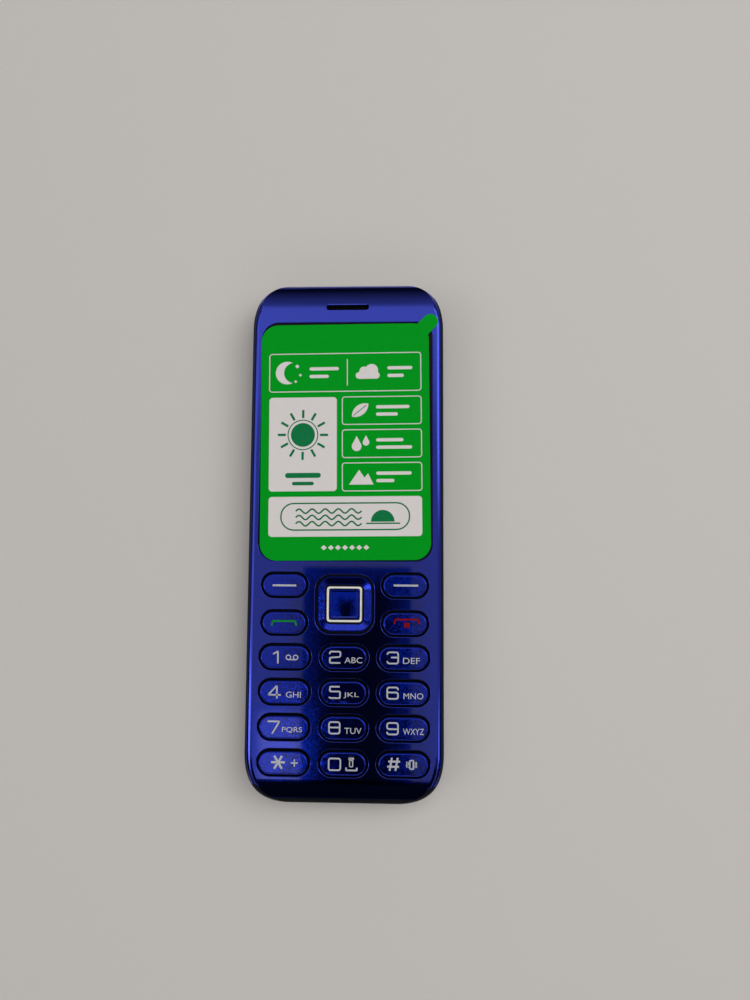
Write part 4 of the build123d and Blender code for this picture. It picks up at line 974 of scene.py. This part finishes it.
def rounded(left, right, bottom, top, radius, steps=6):
    """Outline of a box with round corners."""
    points = []
    corners = ((right, top, 0), (left, top, 1), (left, bottom, 2), (right, bottom, 3))
    for x, y, quarter in corners:
        inward_x = -radius if x == right else radius
        inward_y = -radius if y == top else radius
        for i in range(steps + 1):
            turn = (quarter + i / steps) * math.pi / 2
            points.append((x + inward_x + radius * math.cos(turn), y + inward_y + radius * math.sin(turn)))
    return points


# %% Panels and boxes
edge = 19.6
panels = [rounded(-edge, -2.1, -13.0, 11.4, 0.9), rounded(-edge, edge, -24.6, -14.4, 0.9)]
box_rows = [(11.4, 4.2), (2.8, -4.4), (-5.8, -13.0)]
boxes = [rounded(-0.7, edge, low, high, 0.7) for high, low in box_rows]
boxes.append(rounded(-edge, edge, 12.9, 22.9, 0.7))
divider = [(0.6, 14.4), (0.6, 21.4)]


def bar(left, middle_y, length, thick=0.85):
    """A plain bar with round ends where a word would stand."""
    return rounded(left, left + length, middle_y - thick / 2, middle_y + thick / 2, thick / 2 - 0.01)


white_bars = [
    bar(-9.2, 18.9, 7.6), bar(-9.2, 16.9, 5.0), bar(11.0, 18.9, 6.4), bar(11.0, 16.9, 4.2),
    bar(8.0, 8.7, 8.6), bar(8.0, 6.8, 5.6), bar(8.0, 0.1, 7.0), bar(8.0, -1.8, 9.2), bar(8.0, -8.5, 9.0),
    bar(8.0, -10.4, 4.6),
]
green_bars = [bar(-15.4, -8.9, 9.2, 1.3), bar(-13.6, -11.0, 5.6, 0.9)]

# %% Motifs
def arc(x, y, radius, start, end, steps=16):
    """Points along a circle from one angle to another, in degrees."""
    turns = [math.radians(start + (end - start) * i / steps) for i in range(steps + 1)]
    return [(x + radius * math.cos(turn), y + radius * math.sin(turn)) for turn in turns]


def crescent(x, y, radius):
    """A moon: the outer arc, then back along an arc of a larger circle."""
    return arc(x, y, radius, 62, 298, 24) + arc(x + radius * 0.62, y, radius * 0.90, 259, 101, 20)[1:-1]


def almond(x, y, length, width, tilt):
    """A leaf: two arcs that meet in points at both ends."""
    half = length / 2
    radius = (half**2 + (width / 2) ** 2) / width
    spread = math.degrees(math.asin(half / radius))
    sides = arc(0, width / 2 - radius, radius, 90 + spread, 90 - spread)
    sides += arc(0, radius - width / 2, radius, 270 + spread, 270 - spread)[1:-1]
    cos, sin = math.cos(math.radians(tilt)), math.sin(math.radians(tilt))
    return [(x + px * cos - py * sin, y + px * sin + py * cos) for px, py in sides][::-1]


def drop(x, y, radius):
    """A drop: most of a circle, drawn up to a point."""
    return arc(x, y, radius, -208, 28, 24) + [(x, y + radius * 2.15)]


def wave(left, right, y, rise, count):
    """A wavy line of count whole waves."""
    length = right - left
    shares = [i / (count * 16) for i in range(count * 16 + 1)]
    return [(left + length * share, y + rise * math.sin(math.tau * count * share)) for share in shares]


def diamond(x, y, half_width, half_height):
    """A square on its corner."""
    return [(x + half_width, y), (x, y + half_height), (x - half_width, y), (x, y - half_height)]


cloud = [rounded(2.8, 9.0, 16.1, 17.9, 0.89), ring(5.0, 18.1, 1.25), ring(6.9, 18.3, 1.7)]
moon = [crescent(-15.0, 17.9, 3.0)]
stars = [diamond(-12.4, 19.6, 0.55, 0.55), diamond(-11.6, 17.3, 0.4, 0.4), diamond(-12.8, 15.6, 0.4, 0.4)]
leaf = [almond(3.9, 7.9, 5.4, 2.7, 38)]
rain = [drop(3.0, -1.5, 1.25), drop(5.4, -0.5, 0.85)]
hills = [[(7.3, -11.4), (5.9, -8.5), (5.0, -9.6), (3.6, -7.6), (1.0, -11.4)]]
beads = [diamond(1.8 * place, -27.4, 0.75, 0.65) for place in range(-3, 4)]
print("motifs ready")


# %% [markdown]
# ## Sun rays as copies round a circle
# The sun on the tall panel has twelve rays. Each could be placed by hand, but a small tree that repeats one
# bar round a point keeps their number, length and distance as three inputs.

# %% The ray tree
def ray_tree():
    """Count flat bars that point away from the middle, their inner ends at Radius."""
    recipe = Recipe("rays", ("Radius", "Length", "Width", "Height"), ("Count",))
    length, count = recipe.given("Length"), recipe.given("Count")
    size = recipe.vector(length, recipe.given("Width"), recipe.given("Height"))
    bar_mesh = recipe.add("GeometryNodeMeshCube", {}, {"Size": size})
    outwards = recipe.vector(recipe.given("Radius") + length * 0.5)
    moved = recipe.add("GeometryNodeTransform", {}, {"Geometry": bar_mesh, "Translation": outwards})
    spots = recipe.add("GeometryNodeMeshLine", {}, {"Count": count, "Offset": (0, 0, 0)})
    turn = recipe.vector(z=recipe.add("GeometryNodeInputIndex") * math.tau / count)
    copies = {"Points": spots, "Instance": moved, "Rotation": turn}
    return recipe.close(recipe.add("GeometryNodeInstanceOnPoints", {}, copies))


sun_middle = (-10.85, 1.6)
sun_radius = 3.1
sun_x, sun_y = on_film([sun_middle])[0]
ray_sizes = {"Radius": 4.4 * mm, "Length": 2.1 * mm, "Width": 0.62 * mm, "Height": ink_height}
empty = bpy.data.meshes.new("empty")
rays = run_tree("rays", empty, ray_tree(), {**ray_sizes, "Count": 12, "Material": leaf_ink})
second_layer = film_top + ink_height
rays.transform(Matrix.Translation((sun_x, sun_y, second_layer + ink_height / 2)))
print("rays", len(rays.polygons), "faces")

# %% Print the film
def lines(chains, width, base, ink, corner=0.0):
    """Strokes on the film from chains in film millimetres."""
    return strokes([(on_film(chain), closed) for chain, closed in chains], width, corner, base, ink)


def plates(outlines, base, ink):
    """Filled shapes on the film. Each lies a hair above the one before, so that shapes may overlap."""
    placed_outlines = [on_film(outline) for outline in outlines]
    return [filled([one], base + layer * layer_step, ink) for layer, one in enumerate(placed_outlines)]


capsule = rounded(-16.4, 16.4, -22.9, -16.1, 3.3)
waves = [(wave(-12.6, 4.2, y, 0.55, 5), False) for y in (-21.3, -19.7, -18.1)]
rising_sun = arc(9.6, -20.9, 3.0, 0, 180)
horizon = [([(5.4, -21.3), (14.0, -21.3)], False)]
leaf_rib = [([(2.2, 6.5), (5.5, 9.2)], False)]
white_shapes = panels + white_bars + cloud + moon + stars + leaf + rain + hills + beads

print_parts = plates(white_shapes, film_top, white_ink)
print_parts.append(lines([(box, True) for box in boxes] + [(divider, False)], box_line, film_top, white_ink))
print_parts += plates([ring(*sun_middle, sun_radius, 36), rising_sun] + green_bars, second_layer, leaf_ink)
print_parts.append(lines([(capsule, True)] + horizon, capsule_line, second_layer, leaf_ink))
print_parts.append(lines(waves, wave_line, second_layer, leaf_ink))
halo = ring(*sun_middle, sun_radius + 0.75, 48)
print_parts.append(lines([(halo, True)], box_line, second_layer, leaf_ink))
print_parts.append(lines(leaf_rib, rib_line, second_layer, leaf_ink))
print_parts.append(rays)
film_print = joined("film_print", print_parts, "body")
print("film print", len(film_print.data.polygons), "faces")


# %% [markdown]
# ## Woven meshes
# Behind the earpiece slot lies a fine steel mesh, and behind the speaker slots a black cloth. As solid
# sheets they would look blocked. One set of threads is a wavy tube repeated along a line, with every
# second one turned over; a second set at right angles, turned over the other way, closes the weave.

# %% The thread tree
def thread_tree():
    """Threads along X, repeated along Y at Pitch, that wave by Amplitude with the same pitch."""
    recipe = Recipe("threads", ("Length", "Width", "Pitch", "Wire", "Amplitude"))
    pitch = recipe.given("Pitch")
    half = recipe.given("Length") * 0.5
    ends = {"Start": recipe.vector(half * -1.0), "End": recipe.vector(half)}
    straight = recipe.add("GeometryNodeCurvePrimitiveLine", {}, ends)
    bends = recipe.given("Length") / pitch * 4.0 + 1.0
    dense = recipe.add("GeometryNodeResampleCurve", {}, {"Curve": straight, "Count": bends})
    place = recipe.add("SeparateXYZ", {}, {0: recipe.add("GeometryNodeInputPosition")})
    lift = (place * math.pi / pitch).math("COSINE") * recipe.given("Amplitude")
    waved = recipe.add("GeometryNodeSetPosition", {}, {"Geometry": dense, "Offset": recipe.vector(z=lift)})
    wire = {"Resolution": 6, "Radius": recipe.given("Wire") * 0.5}
    section = recipe.add("GeometryNodeCurvePrimitiveCircle", {}, wire)
    swept = {"Curve": waved, "Profile Curve": section, "Fill Caps": True}
    thread = recipe.add("GeometryNodeCurveToMesh", {}, swept)
    count = (recipe.given("Width") / pitch).math("FLOOR") + 1.0
    row = {"Start Location": recipe.vector(y=(count - 1.0) * pitch * -0.5), "Offset": recipe.vector(y=pitch)}
    spots = recipe.add("GeometryNodeMeshLine", {}, {"Count": count, **row})
    odd = recipe.add("GeometryNodeInputIndex").math("MODULO", 2.0)
    copies = {"Points": spots, "Instance": thread, "Rotation": recipe.vector(odd * math.pi)}
    return recipe.close(recipe.add("GeometryNodeInstanceOnPoints", {}, copies))


# %% Weave the two meshes
threads = thread_tree()
earpiece_pitch = 0.26 * mm
speaker_pitch = 0.32 * mm
wires_deep = 2.2


def woven(name, node, pitch, slot):
    """A plain weave as large as the node it replaces."""
    low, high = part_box(node)
    size = high - low
    wire = min(size.z / wires_deep, pitch * 0.5)
    across, along = size.x - wire, size.y - wire
    sizes = {"Pitch": pitch, "Wire": wire, "Material": finishes[slot]}
    warp_sizes = {**sizes, "Length": across, "Width": along, "Amplitude": wire / 2}
    weft_sizes = {**sizes, "Length": along, "Width": across, "Amplitude": -wire / 2}
    warp = run_tree(name, empty, threads, warp_sizes)
    weft = run_tree(name, empty, threads, weft_sizes)
    weft.transform(Matrix.Rotation(math.pi / 2, 4, "Z"))
    for mesh in (warp, weft):
        mesh.transform(Matrix.Translation((low + high) / 2))
    piece = joined(name, [warp, weft], nodes[node]["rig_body"])
    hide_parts(node)
    return piece


earpiece_weave = woven("earpiece_weave", "earpiece_mesh", earpiece_pitch, "earpiece_steel")
speaker_weave = woven("speaker_weave", "speaker_mesh", speaker_pitch, "speaker_cloth")
print("weaves", len(earpiece_weave.data.polygons), "and", len(speaker_weave.data.polygons), "faces")
